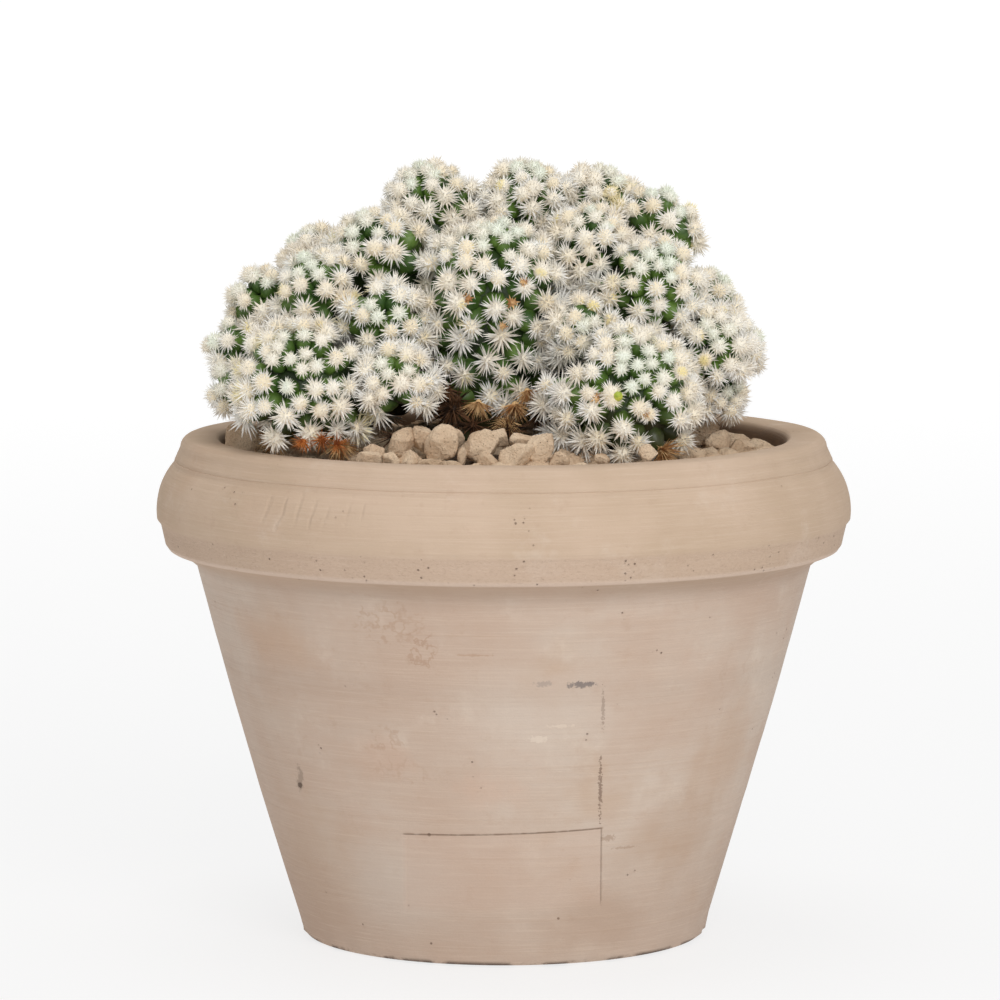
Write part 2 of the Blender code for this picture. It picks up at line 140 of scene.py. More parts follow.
FRONT_STONES = (
    # x, y, z, half sizes along x, y and z, lean about the view's axis in degrees
    (-0.0519, -0.0165, 0.1010, 0.0039, 0.0032, 0.0038, 10),
    (-0.0263, -0.0475, 0.1008, 0.0025, 0.0022, 0.0023, 0),
    (-0.0214, -0.0480, 0.1004, 0.0021, 0.0020, 0.0019, 30),
    (-0.0202, -0.0405, 0.1034, 0.0036, 0.0026, 0.0022, -32),
    (-0.0157, -0.0400, 0.1046, 0.0021, 0.0021, 0.0026, 0),
    (-0.0120, -0.0425, 0.1031, 0.0030, 0.0026, 0.0039, 20),
    (-0.0080, -0.0445, 0.1013, 0.0010, 0.0012, 0.0017, 0),
    (-0.0040, -0.0420, 0.1027, 0.0034, 0.0027, 0.0030, -20),
    (-0.0185, -0.0475, 0.1004, 0.0029, 0.0022, 0.0022, -25),
    (-0.0143, -0.0490, 0.0998, 0.0024, 0.0018, 0.0016, -8),
    (-0.0100, -0.0500, 0.0995, 0.0022, 0.0016, 0.0015, 10),
    (-0.0065, -0.0505, 0.0990, 0.0024, 0.0016, 0.0014, 0),
    (-0.0030, -0.0480, 0.1000, 0.0022, 0.0020, 0.0026, 5),
    (0.0024, -0.0485, 0.1013, 0.0046, 0.0027, 0.0028, -24),
    (0.0072, -0.0470, 0.1030, 0.0026, 0.0024, 0.0038, 24),
    (0.0040, -0.0410, 0.1036, 0.0032, 0.0024, 0.0022, 15),
    (0.0103, -0.0480, 0.1005, 0.0022, 0.0018, 0.0018, 0),
    (0.0145, -0.0500, 0.0993, 0.0022, 0.0016, 0.0013, 0),
    (0.0192, -0.0495, 0.1010, 0.0016, 0.0014, 0.0016, 0),
    (0.0280, -0.0465, 0.1018, 0.0019, 0.0018, 0.0020, 0),
    (-0.0105, -0.0370, 0.1040, 0.0026, 0.0022, 0.0022, 12),
    (-0.0010, -0.0360, 0.1040, 0.0026, 0.0024, 0.0020, 0),
    (-0.0250, -0.0420, 0.1016, 0.0022, 0.0022, 0.0020, 0),
    (0.0398, -0.0010, 0.1015, 0.0033, 0.0028, 0.0032, 12),
    (0.0430, -0.0060, 0.1004, 0.0034, 0.0024, 0.0022, 0),
    (0.0478, -0.0030, 0.0990, 0.0026, 0.0020, 0.0015, 0),
    (0.0372, -0.0270, 0.0993, 0.0028, 0.0022, 0.0020, -10),
    (0.0450, -0.0180, 0.0985, 0.0024, 0.0020, 0.0016, 15),
)

# Plant
ROOT = Vector((0.0, 0.004, 0.100))
TUBERCLE_REACH = 0.0034  # from the flesh's valleys to a tubercle's tip
SPINE_REACH = 0.0023  # of the spines above the tubercles
TAIL_TAPER = 0.30
TAIL_STEP = 0.05
TAIL_ROOM = 0.0030
LONGEST_TAIL = 0.75
GAP = 0.0003
CROWN_SPACING = 0.0030  # between neighbouring areoles
CROWN_START = 0.35  # from the crown's tip to the first areole, in spacings
FULL_SPACING_AT = 0.85  # of the way from the crown's tip to the body
SPACING_GROWTH = 1.15
PACKING = 0.87
CLEFT = 0.0003  # from an areole's tip to the plane between two heads, at least
STRAY = 0.5  # of an areole from its place in the spiral, in spacings
BODY_SPACING = 0.0056
SMALL_SPACING = 0.55  # of a small head's radius
OPEN_SPACING = {
    "head_centre": 0.0062,
    "head_front_right": 0.0058,
    "head_front_left": 0.0059,
    "head_right": 0.0058,
    "head_right_top": 0.0060,
    "head_upper_left": 0.0060,
    "head_left": 0.0060,
    "head_small_left": 0.0050,
    "head_left_outer": 0.0059,
    "head_mid_left": 0.0056,
    "head_mid_right": 0.0048,
    "head_right_back": 0.0056,
    "head_far_right": 0.0050,
    "head_far_left": 0.0060,
    "head_far_left_low": 0.0060,
}
LOOKS_DOWN = -0.8  # an areole whose direction's z is lower is left out
LOOKS_INWARDS = -0.25
DEEP = 0.5  # of the way from the root to a head's centre
CROWN_PULL = 0.22  # of the crown's direction on an areole's
LEAN_STRAY = 0.12
AREOLE_SIZES = (0.88, 1.20)
VARIANTS = 3
TUBERCLE_SIZE = 0.0056
SMALLEST_TUBERCLE = 0.64
CROWN_AGE = 0.30
YOUNG_AGE = 0.60
GROWN_AGE = 0.95
STAYS_GROWN = 0.4
DRY_SHARE = 0.6
DRY_UNDER = 0.1030
MOTHER_DRY_UNDER = 0.112
FLOOR_OVER_GRAVEL = 0.0993
FLOOR_OVER_RIM = 0.1015
RIM_REACH = 0.0545
MOTHER = "head_centre"
MOTHER_FOOT = (-0.0030, -0.0095, 0.107)
STEM_RADIUS = 0.0055
STEM_TOP = 0.106
STEM_FOOT = 0.083
HEADS = (
    # name, centre of the crown's curve, radius over the spines, direction of the crown
    ("head_centre", (-0.0024, -0.0125, 0.1315), 0.0156, (0.05, -0.50, 0.86)),
    ("head_front_left", (-0.0393, -0.0280, 0.1131), 0.0154, (-0.10, -0.80, 0.58)),
    ("head_front_right", (0.0236, -0.0300, 0.1112), 0.0163, (0.20, -0.80, 0.56)),
    ("head_small_left", (-0.0213, -0.0325, 0.1144), 0.0094, (0.02, -0.88, 0.47)),
    ("head_mid_left", (-0.0242, -0.0208, 0.1252), 0.0100, (0.10, -0.92, 0.38)),
    ("head_mid_right", (0.0155, -0.0230, 0.1240), 0.0080, (0.10, -0.93, 0.35)),
    ("head_upper_left", (-0.0252, -0.0040, 0.1360), 0.0126, (-0.28, -0.58, 0.76)),
    ("head_left", (-0.0366, -0.0138, 0.1300), 0.0108, (-0.30, -0.62, 0.72)),
    ("head_left_outer", (-0.0468, -0.0050, 0.1270), 0.0100, (-0.50, -0.50, 0.70)),
    ("head_far_left", (-0.0530, -0.0100, 0.1195), 0.0080, (-0.75, -0.40, 0.52)),
    ("head_far_left_low", (-0.0520, -0.0150, 0.1120), 0.0082, (-0.80, -0.55, 0.20)),
    ("head_left_back", (-0.0372, 0.0120, 0.1340), 0.0098, (-0.50, 0.10, 0.85)),
    ("head_top_left", (-0.0150, 0.0110, 0.1452), 0.0116, (-0.15, -0.35, 0.92)),
    ("head_top", (0.0044, 0.0115, 0.1462), 0.0112, (0.05, -0.35, 0.93)),
    ("head_top_right", (0.0192, 0.0165, 0.1450), 0.0108, (0.15, -0.25, 0.95)),
    ("head_right_top", (0.0303, 0.0110, 0.1406), 0.0109, (0.30, -0.35, 0.88)),
    ("head_upper_middle", (0.0172, -0.0030, 0.1385), 0.0106, (0.08, -0.62, 0.78)),
    ("head_right", (0.0286, -0.0090, 0.1300), 0.0130, (0.25, -0.70, 0.66)),
    ("head_right_front", (0.0408, -0.0110, 0.1190), 0.0104, (0.15, -0.83, 0.53)),
    ("head_right_low", (0.0420, -0.0070, 0.1105), 0.0076, (0.70, -0.65, 0.10)),
    ("head_right_back", (0.0395, 0.0110, 0.1248), 0.0104, (0.55, 0.00, 0.84)),
    ("head_far_right", (0.0470, 0.0060, 0.1180), 0.0074, (0.85, -0.20, 0.45)),
    ("head_left_side", (-0.0480, 0.0060, 0.1160), 0.0116, (-0.85, 0.15, 0.45)),
    ("head_back_upper_left", (-0.0260, 0.0290, 0.1290), 0.0118, (-0.40, 0.45, 0.80)),
    ("head_back_upper", (-0.0030, 0.0320, 0.1345), 0.0122, (-0.05, 0.50, 0.86)),
    ("head_back_upper_right", (0.0210, 0.0310, 0.1290), 0.0118, (0.35, 0.50, 0.80)),
    ("head_back_left", (-0.0360, 0.0310, 0.1120), 0.0118, (-0.60, 0.60, 0.50)),
    ("head_back", (-0.0120, 0.0440, 0.1130), 0.0118, (-0.15, 0.85, 0.50)),
    ("head_back_right", (0.0130, 0.0440, 0.1125), 0.0116, (0.20, 0.85, 0.50)),
    ("head_right_side", (0.0350, 0.0280, 0.1130), 0.0118, (0.70, 0.50, 0.50)),
)

TUFTS = {
    # head: kind, place, direction, size
    "head_centre": (
        ("husk", (-0.0070, -0.0252, 0.1305), (-0.3, -0.9, 0.1), 1.0),
        ("husk", (0.0038, -0.0244, 0.1337), (0.4, -0.9, 0.2), 0.9),
        ("husk", (0.0016, -0.0254, 0.1297), (0.2, -1.0, 0.1), 1.1),
        ("husk", (-0.0002, -0.0257, 0.1252), (0.0, -1.0, 0.0), 0.8),
        ("golden", (0.0046, -0.0240, 0.1122), (0.2, -0.5, -0.8), 1.0),
        ("golden", (0.0022, -0.0248, 0.1096), (0.0, -0.5, -0.9), 1.1),
        ("golden", (0.0006, -0.0250, 0.1066), (-0.1, -0.6, -0.8), 1.0),
        ("golden", (-0.0050, -0.0246, 0.1100), (-0.1, -0.5, -0.9), 1.0),
        ("dry", (-0.0112, -0.0230, 0.1125), (-0.5, -0.6, -0.7), 1.1),
        ("dry", (-0.0100, -0.0240, 0.1085), (-0.3, -0.6, -0.8), 1.2),
        ("dry", (-0.0106, -0.0180, 0.1080), (0.0, -1.0, 0.1), 1.4),
        ("dry", (-0.0104, -0.0120, 0.1074), (0.0, -1.0, 0.1), 1.4),
        ("dry", (-0.0060, -0.0250, 0.1055), (-0.1, -0.8, -0.3), 1.2),
        ("dry", (0.0010, -0.0255, 0.1050), (0.1, -0.8, -0.3), 1.3),
        ("dry", (0.0075, -0.0235, 0.1080), (0.4, -0.7, -0.5), 1.2),
    ),
    "head_front_right": (
        ("husk", (0.0180, -0.0428, 0.1125), (-0.3, -0.9, 0.1), 1.0),
        ("husk", (0.0273, -0.0435, 0.1096), (0.2, -0.9, 0.0), 0.9),
        ("bud", (0.0221, -0.0440, 0.1129), (0.1, -0.9, 0.3), 1.0),
    ),
    "head_small_left": (
        ("dry", (-0.0215, -0.0370, 0.1045), (0.0, -0.6, -0.8), 1.0),
        ("golden", (-0.0190, -0.0355, 0.1040), (0.3, -0.5, -0.8), 0.8),
    ),
    "head_front_left": (
        ("rusty", (-0.0354, -0.0425, 0.1045), (0.1, -0.9, -0.5), 0.9),
        ("rusty", (-0.0325, -0.0430, 0.1035), (0.6, -0.8, -0.1), 0.8),
        ("rusty", (-0.0390, -0.0425, 0.1040), (-0.3, -0.7, -0.7), 0.8),
    ),
}

# The slots of a head's materials, in order
FLESH, WOOL, SPINES, YOUNG, DRY, GOLDEN_DRY, RUSTY, BUD, VALLEY_WITH_PAINTED_SHADE = range(9)


# Making meshes


def new_object(name, data):
    made = bpy.data.objects.new(name, data)
    bpy.context.scene.collection.objects.link(made)
    return made


def new_mesh(name, bm, finishes=()):
    mesh = bpy.data.meshes.new(name)
    bm.to_mesh(mesh)
    bm.free()
    for finish in finishes:
        mesh.materials.append(finish)
    return mesh


def piece(name, bm, finishes, node):
    """Makes an object of a bmesh, and lets it ride on the pot's one body."""
    made = new_object(name, new_mesh(name, bm, finishes))
    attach(made, "root")
    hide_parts(node)
    return made


def template(bm, name):
    """Keeps a small shape as a mesh, to be stamped many times. Its tagged faces stay flat."""
    for face in bm.faces:
        face.smooth = not face.tag
    return new_mesh(name, bm)


def stamp(bm, shape, place):
    """Adds a copy of a template at a place, to a bmesh that holds only such copies."""
    before = len(bm.verts)
    bm.from_mesh(shape)
    bm.verts.ensure_lookup_table()
    bmesh.ops.transform(bm, matrix=place, verts=bm.verts[before:])


def facing(place, direction, turn=0.0, size=1.0):
    """The matrix that stands a template on a place, with its +Z along a direction."""
    lean = direction.to_track_quat("Z", "Y").to_matrix().to_4x4()
    return Matrix.Translation(place) @ lean @ Matrix.Rotation(turn, 4, "Z") @ Matrix.Scale(size, 4)


def three(one):
    """A vector of three draws."""
    return Vector([one() for _ in range(3)])


def set_material(faces, index):
    for face in faces:
        face.material_index = index


# Making materials


class Graph:
    """Short ways to put nodes in a tree and join them."""

    def __init__(self, tree):
        self.tree = tree

    def node(self, kind, settings=None, **inputs):
        made = self.tree.nodes.new(kind)
        for key, value in (settings or {}).items():
            setattr(made, key, value)
        for key, value in inputs.items():
            self.feed(made.inputs[key.replace("_", " ")], value)
        return made

    def feed(self, socket, value):
        if isinstance(value, bpy.types.NodeSocket):
            self.tree.links.new(value, socket)
        else:
            socket.default_value = value

    def operate(self, kind, operation, *values):
        made = self.node(kind, {"operation": operation})
        for socket, value in zip(made.inputs, values):
            self.feed(socket, value)
        return made.outputs

    def math(self, operation, *values):
        return self.operate("ShaderNodeMath", operation, *values)["Value"]

    def vector(self, operation, *values):
        return self.operate("ShaderNodeVectorMath", operation, *values)["Vector"]

    def length(self, vector):
        return self.operate("ShaderNodeVectorMath", "LENGTH", vector)["Value"]

    def xyz(self, vector):
        return self.node("ShaderNodeSeparateXYZ", Vector=vector).outputs

    def noise(self, vector, scale, detail=2.0, roughness=0.5):
        made = self.node("ShaderNodeTexNoise", Vector=vector, Scale=scale, Detail=detail, Roughness=roughness)
        return made.outputs["Fac"]

    def ramp(self, value, low, high):
        """0 below low, 1 above high, smooth between."""
        smooth = {"interpolation_type": "SMOOTHSTEP"}
        made = self.node("ShaderNodeMapRange", smooth, Value=value, From_Min=low, From_Max=high)
        return made.outputs["Result"]

    def fall(self, value, low, high):
        """1 below low, 0 above high, smooth between."""
        return self.math("SUBTRACT", 1.0, self.ramp(value, low, high))

    def band(self, value, rise, fall):
        """1 between a rise and a fall, each given by its start and end."""
        return self.product(self.ramp(value, *rise), self.fall(value, *fall))

    def line(self, value, middle, near, far):
        """1 where a value is within near of a middle, 0 past far."""
        return self.fall(self.math("ABSOLUTE", self.math("SUBTRACT", value, middle)), near, far)

    def patches(self, place, scale, detail, low, high, roughness=0.5):
        return self.ramp(self.noise(place, scale, detail, roughness), low, high)

    def product(self, first, *others):
        for other in others:
            first = self.math("MULTIPLY", first, other)
        return first

    def stain(self, colour, mask, share, tint):
        """Lays a tint over a colour where a mask is."""
        return self.mix(self.math("MULTIPLY", mask, share), colour, tint)

    def mix(self, share, first, second):
        made = self.tree.nodes.new("ShaderNodeMix")
        made.data_type = "RGBA"
        self.feed(made.inputs[0], share)
        self.feed(made.inputs[6], first)
        self.feed(made.inputs[7], second)
        return made.outputs[2]

    def bump(self, height, distance, strength=1.0, normal=None):
        made = self.node("ShaderNodeBump", Height=height, Distance=distance, Strength=strength)
        if normal:
            self.feed(made.inputs["Normal"], normal)
        return made.outputs["Normal"]

    def group(self, tree, **inputs):
        return self.node("ShaderNodeGroup", {"node_tree": tree}, **inputs).outputs

    def spot(self, tree, place, middle, reach, ragged, grain, soft):
        given = dict(Vector=place, Place=middle, Stretch=reach, Raggedness=ragged, Grain=grain, Softness=soft)
        return self.group(tree, **given)["Mask"]


def rgb(*levels):
    """A linear colour from a colour as it looks on a screen, 0 to 255."""
    linear = [(c / 255 / 12.92) if c < 10 else ((c / 255 + 0.055) / 1.055) ** 2.4 for c in levels]
    return (*linear, 1)


def new_material(name):
    made = bpy.data.materials.new(name)
    made.use_nodes = True
    graph = Graph(made.node_tree)
    shader = made.node_tree.nodes["Principled BSDF"]
    place = graph.node("ShaderNodeTexCoord").outputs["Object"]
    return made, graph, shader, place


def finished(graph, shader, colour, roughness, specular, normal):
    graph.feed(shader.inputs["Base Color"], colour)
    shader.inputs["Roughness"].default_value = roughness
    shader.inputs["Specular IOR Level"].default_value = specular
    graph.feed(shader.inputs["Normal"], normal)


def new_group(name, vectors, numbers, results):
    """A node group with named inputs and outputs: (tree, graph, what it is given, what it puts out)."""
    tree = bpy.data.node_groups.new(name, "ShaderNodeTree")
    sockets = [(socket, "INPUT", "NodeSocketVector") for socket in vectors]
    sockets += [(socket, "INPUT", "NodeSocketFloat") for socket in numbers]
    sockets += [(socket, "OUTPUT", "NodeSocketFloat") for socket in results]
    for socket, way, kind in sockets:
        tree.interface.new_socket(socket, in_out=way, socket_type=kind)
    given = tree.nodes.new("NodeGroupInput").outputs
    return tree, Graph(tree), given, tree.nodes.new("NodeGroupOutput").inputs


def spot_group():
    """A ragged spot round a place: 1 inside, 0 outside. Softness is how far its edge fades."""
    inputs = ("Vector", "Place", "Stretch"), ("Raggedness", "Grain", "Softness")
    tree, graph, given, result = new_group("ragged_spot", *inputs, ("Mask",))
    away = graph.vector("SUBTRACT", given["Vector"], given["Place"])
    length = graph.length(graph.vector("DIVIDE", away, given["Stretch"]))
    grain = graph.noise(given["Vector"], given["Grain"], 3.0, 0.6)
    ragged = graph.math("MULTIPLY", graph.math("SUBTRACT", grain, 0.5), given["Raggedness"])
    edge = graph.math("ADD", length, ragged)
    start = graph.math("SUBTRACT", 1.05, given["Softness"])
    graph.feed(result["Mask"], graph.fall(edge, start, 1.05))
    return tree


def grain_group():
    """Fine grit of a fired or broken surface, as a height from 0 to 1."""
    tree, graph, given, result = new_group("grit", ("Vector",), ("Scale",), ("Height", "Pits"))
    cells = graph.node("ShaderNodeTexVoronoi", Vector=given["Vector"], Scale=given["Scale"])
    fine = graph.noise(given["Vector"], graph.math("MULTIPLY", given["Scale"], 1.7), 4.0, 0.65)
    pits = graph.fall(cells.outputs["Distance"], 0.06, 0.22)
    graph.feed(result["Pits"], pits)
    graph.feed(result["Height"], graph.math("SUBTRACT", fine, graph.math("MULTIPLY", pits, 0.6)))
    return tree


CLAY_PATCHES = (
    # scale, detail, start, end, roughness, strength, colour
    (38, 5, 0.52, 0.72, 0.65, 0.16, (200, 168, 148)),
    (26, 4, 0.56, 0.74, 0.6, 0.5, (186, 156, 130)),
    (70, 5, 0.55, 0.75, 0.7, 0.4, (216, 200, 184)),
    (240, 4, 0.55, 0.75, 0.7, 0.25, (178, 148, 126)),
)
POT_MARKS = (
    # place, half sizes, raggedness, grain, softness, strength, colour
    ((0.0075, -0.0574, 0.0585), (0.0017, 0.004, 0.0006), 2.6, 1500.0, 0.5, 0.45, (120, 110, 108)),
    ((0.0150, -0.0557, 0.0581), (0.0034, 0.004, 0.0007), 2.6, 1500.0, 0.5, 0.80, (92, 86, 88)),
    ((0.0192, -0.0527, 0.0528), (0.00035, 0.004, 0.0040), 4.0, 2200.0, 0.3, 0.6, (128, 106, 92)),
    ((0.0188, -0.0480, 0.0364), (0.00035, 0.004, 0.0066), 4.0, 2200.0, 0.3, 0.7, (118, 96, 82)),
    ((0.0205, -0.0440, 0.0262), (0.0014, 0.004, 0.0007), 3.0, 1800.0, 0.3, 0.45, (150, 122, 100)),
    ((0.0235, -0.0420, 0.0238), (0.0026, 0.004, 0.0003), 3.0, 1800.0, 0.3, 0.40, (150, 122, 100)),
    ((0.0070, -0.0541, 0.0472), (0.0022, 0.004, 0.0008), 3.2, 1200.0, 0.5, 0.5, (226, 210, 192)),
    ((0.0112, -0.0541, 0.0498), (0.0032, 0.004, 0.0004), 3.0, 1500.0, 0.5, 0.5, (224, 206, 186)),
    ((-0.0062, -0.0590, 0.0643), (0.0046, 0.004, 0.0003), 2.4, 600.0, 0.6, 0.40, (168, 134, 108)),
    ((-0.0403, -0.0310, 0.0360), (0.0009, 0.006, 0.0030), 2.4, 900.0, 0.5, 0.55, (140, 122, 108)),
    ((-0.0403, -0.0314, 0.0346), (0.0005, 0.004, 0.0007), 1.0, 900.0, 0.4, 0.8, (88, 72, 62)),
    ((0.0107, -0.0424, 0.0098), (0.0003, 0.004, 0.0003), 0.5, 900.0, 0.4, 0.8, (96, 76, 62)),
    ((-0.0143, -0.0397, 0.0043), (0.0003, 0.004, 0.0003), 0.5, 900.0, 0.4, 0.8, (96, 76, 62)),
    ((-0.0146, -0.0467, 0.0272), (0.0004, 0.004, 0.0004), 0.5, 900.0, 0.4, 0.8, (96, 76, 62)),
    ((0.0440, -0.0300, 0.0400), (0.0120, 0.018, 0.0150), 2.4, 60.0, 0.9, 0.34, (178, 142, 112)),
    ((0.0348, -0.0339, 0.0240), (0.0170, 0.018, 0.0130), 2.4, 60.0, 0.9, 0.30, (170, 138, 112)),
    ((0.0180, -0.0400, 0.0080), (0.0200, 0.020, 0.0090), 1.2, 80.0, 0.9, 0.40, (168, 138, 116)),
    ((-0.0400, -0.0300, 0.0200), (0.0160, 0.020, 0.0160), 1.2, 80.0, 0.9, 0.25, (186, 160, 136)),
    ((-0.0240, -0.0480, 0.0430), (0.0090, 0.012, 0.0060), 1.6, 160.0, 0.8, 0.30, (200, 166, 144)),
    ((-0.0030, -0.0480, 0.0370), (0.0080, 0.012, 0.0050), 1.6, 160.0, 0.8, 0.30, (202, 168, 146)),
    ((0.0050, -0.0560, 0.0520), (0.0260, 0.030, 0.0120), 1.2, 70.0, 0.9, 0.35, (208, 192, 178)),
    ((-0.0200, -0.0420, 0.0150), (0.0180, 0.020, 0.0130), 1.2, 70.0, 0.9, 0.35, (200, 188, 176)),
    ((-0.0450, -0.0400, 0.0650), (0.0120, 0.020, 0.0080), 1.4, 110.0, 0.9, 0.35, (192, 158, 130)),
)
POT_WRINKLES = (
    # place, half sizes, scale of the lines, strength, colour
    ((-0.0225, -0.0560, 0.0700), (0.0065, 0.008, 0.0045), 230.0, 0.36, (168, 134, 108)),
    ((-0.0160, -0.0575, 0.0650), (0.0036, 0.006, 0.0052), 300.0, 0.42, (164, 128, 102)),
    ((-0.0233, -0.0500, 0.0464), (0.0050, 0.008, 0.0030), 240.0, 0.34, (170, 136, 112)),
    ((-0.0200, -0.0500, 0.0400), (0.0070, 0.008, 0.0030), 200.0, 0.24, (172, 140, 118)),
    ((0.0400, -0.0300, 0.0600), (0.0120, 0.012, 0.0080), 160.0, 0.16, (170, 138, 114)),
)


def clay_colour(graph, place, turned, brushed):
    """Mottled clay: beige on the rim, greyer on the wall, with chalky and pinkish patches."""
    height = graph.xyz(place)["Z"]
    beige = graph.mix(graph.patches(place, 22, 4, 0.36, 0.66, 0.6), rgb(192, 168, 144), rgb(203, 179, 157))
    grey = graph.mix(graph.patches(place, 17, 5, 0.36, 0.66, 0.65), rgb(192, 168, 150), rgb(200, 183, 168))
    clay = graph.mix(graph.ramp(height, 0.074, 0.080), grey, beige)
    for *values, share, tint in CLAY_PATCHES:
        clay = graph.stain(clay, graph.patches(place, *values), share, rgb(*tint))
    clay = graph.stain(clay, graph.fall(height, 0.004, 0.034), 0.40, rgb(166, 138, 118))
    clay = graph.stain(clay, graph.ramp(turned, 0.45, 0.78), 0.20, rgb(178, 150, 128))
    return graph.stain(clay, graph.ramp(brushed, 0.48, 0.72), 0.24, rgb(220, 200, 180))


def stamped_field(graph, place):
    """The plain impressed rectangle low on the front: its depth, and the painted shadow along its upper and
    right edges.
    """
    axis = graph.xyz(place)
    tilted = graph.math("SUBTRACT", axis["Z"], graph.math("MULTIPLY", axis["X"], FIELD_TILT))
    front = graph.fall(axis["Y"], -0.030, -0.026)
    under_top = graph.fall(tilted, FIELD_TOP - 0.0003, FIELD_TOP)
    left_of_side = graph.fall(axis["X"], FIELD_RIGHT - 0.0003, FIELD_RIGHT)
    right_of_side = graph.ramp(axis["X"], FIELD_LEFT, FIELD_LEFT + 0.0012)
    over_foot = graph.ramp(tilted, FIELD_FOOT, FIELD_FOOT + 0.003)
    field = graph.product(front, under_top, left_of_side, right_of_side, over_foot)
    # painted shadow lines inside the field's upper and right edges
    painted_top_shadow_line = graph.line(tilted, FIELD_TOP - 0.0001, 0.0001, 0.0003)
    painted_side_shadow_line = graph.line(axis["X"], FIELD_RIGHT - 0.0001, 0.0001, 0.0003)
    wide = graph.band(axis["X"], (FIELD_LEFT, FIELD_LEFT + 0.001), (FIELD_RIGHT, FIELD_RIGHT + 0.0004))
    tall = graph.product(over_foot, graph.fall(tilted, FIELD_TOP, FIELD_TOP + 0.0004))
    edges = graph.math("MAXIMUM", graph.product(painted_top_shadow_line, wide), graph.product(painted_side_shadow_line, tall, 0.45))
    return field, graph.product(edges, front)


def press_marks(graph, place, spot):
    """A row of faint slanting dents on the left of the rim."""
    axis = graph.xyz(place)
    bent = graph.math("MULTIPLY", graph.noise(place, 90, 2), 0.004)
    slanted = graph.math("SUBTRACT", axis["X"], graph.math("MULTIPLY", axis["Z"], PRESS_SLANT))
    phase = graph.math("FRACT", graph.math("DIVIDE", graph.math("ADD", bent, slanted), PRESS_SPACING))
    where = graph.spot(spot, place, PRESS_PLACE, PRESS_REACH, 2.2, 220.0, 0.8)
    return graph.product(graph.line(phase, 0.5, 0.0, 0.2), where)


def rough_band(graph, clay, band, coarse):
    """The coarse, unsmoothed clay round the rim's foot."""
    clay = graph.stain(clay, band, 0.35, rgb(192, 166, 148))
    clay = graph.stain(clay, graph.product(band, graph.ramp(coarse, 0.52, 0.68)), 0.30, rgb(160, 134, 116))
    return graph.stain(clay, graph.product(band, graph.fall(coarse, 0.30, 0.42)), 0.30, rgb(220, 202, 186))


def dark_foot_and_painted_rim_shade_and_highlight(graph, clay, place, height):
    """The dark foot, partly chips and dirt and partly painted contact shadow; painted shade in the cove under
    the rim; a painted highlight on the edge over it.
    """
    # a dark line along the foot: chips and dirt, and painted contact shadow
    foot_chips_and_painted_shadow = graph.product(graph.fall(height, 0.0002, 0.0011), graph.patches(place, 130, 4, 0.40, 0.55, 0.7))
    clay = graph.stain(clay, foot_chips_and_painted_shadow, 0.85, rgb(70, 56, 48))
    # painted shade in the cove under the rim
    clay = graph.stain(clay, graph.band(height, (0.0735, 0.0768), (0.0784, 0.0788)), 0.30, rgb(140, 112, 94))
    # painted highlight along the band's lower edge
    return graph.stain(clay, graph.band(height, (0.0785, 0.0788), (0.0791, 0.0798)), 0.5, rgb(216, 194, 178))


def marked(graph, clay, place, spot):
    """The spots and the wrinkled stains that have places of their own."""
    for *values, share, tint in POT_MARKS:
        clay = graph.stain(clay, graph.spot(spot, place, *values), share, rgb(*tint))
    for middle, reach, scale, share, tint in POT_WRINKLES:
        where = graph.spot(spot, place, middle, reach, 1.5, 300.0, 0.4)
        lines = graph.line(graph.noise(place, scale, 3, 0.6), 0.5, 0.0, 0.06)
        clay = graph.stain(clay, graph.product(where, lines), share, rgb(*tint))
    return clay


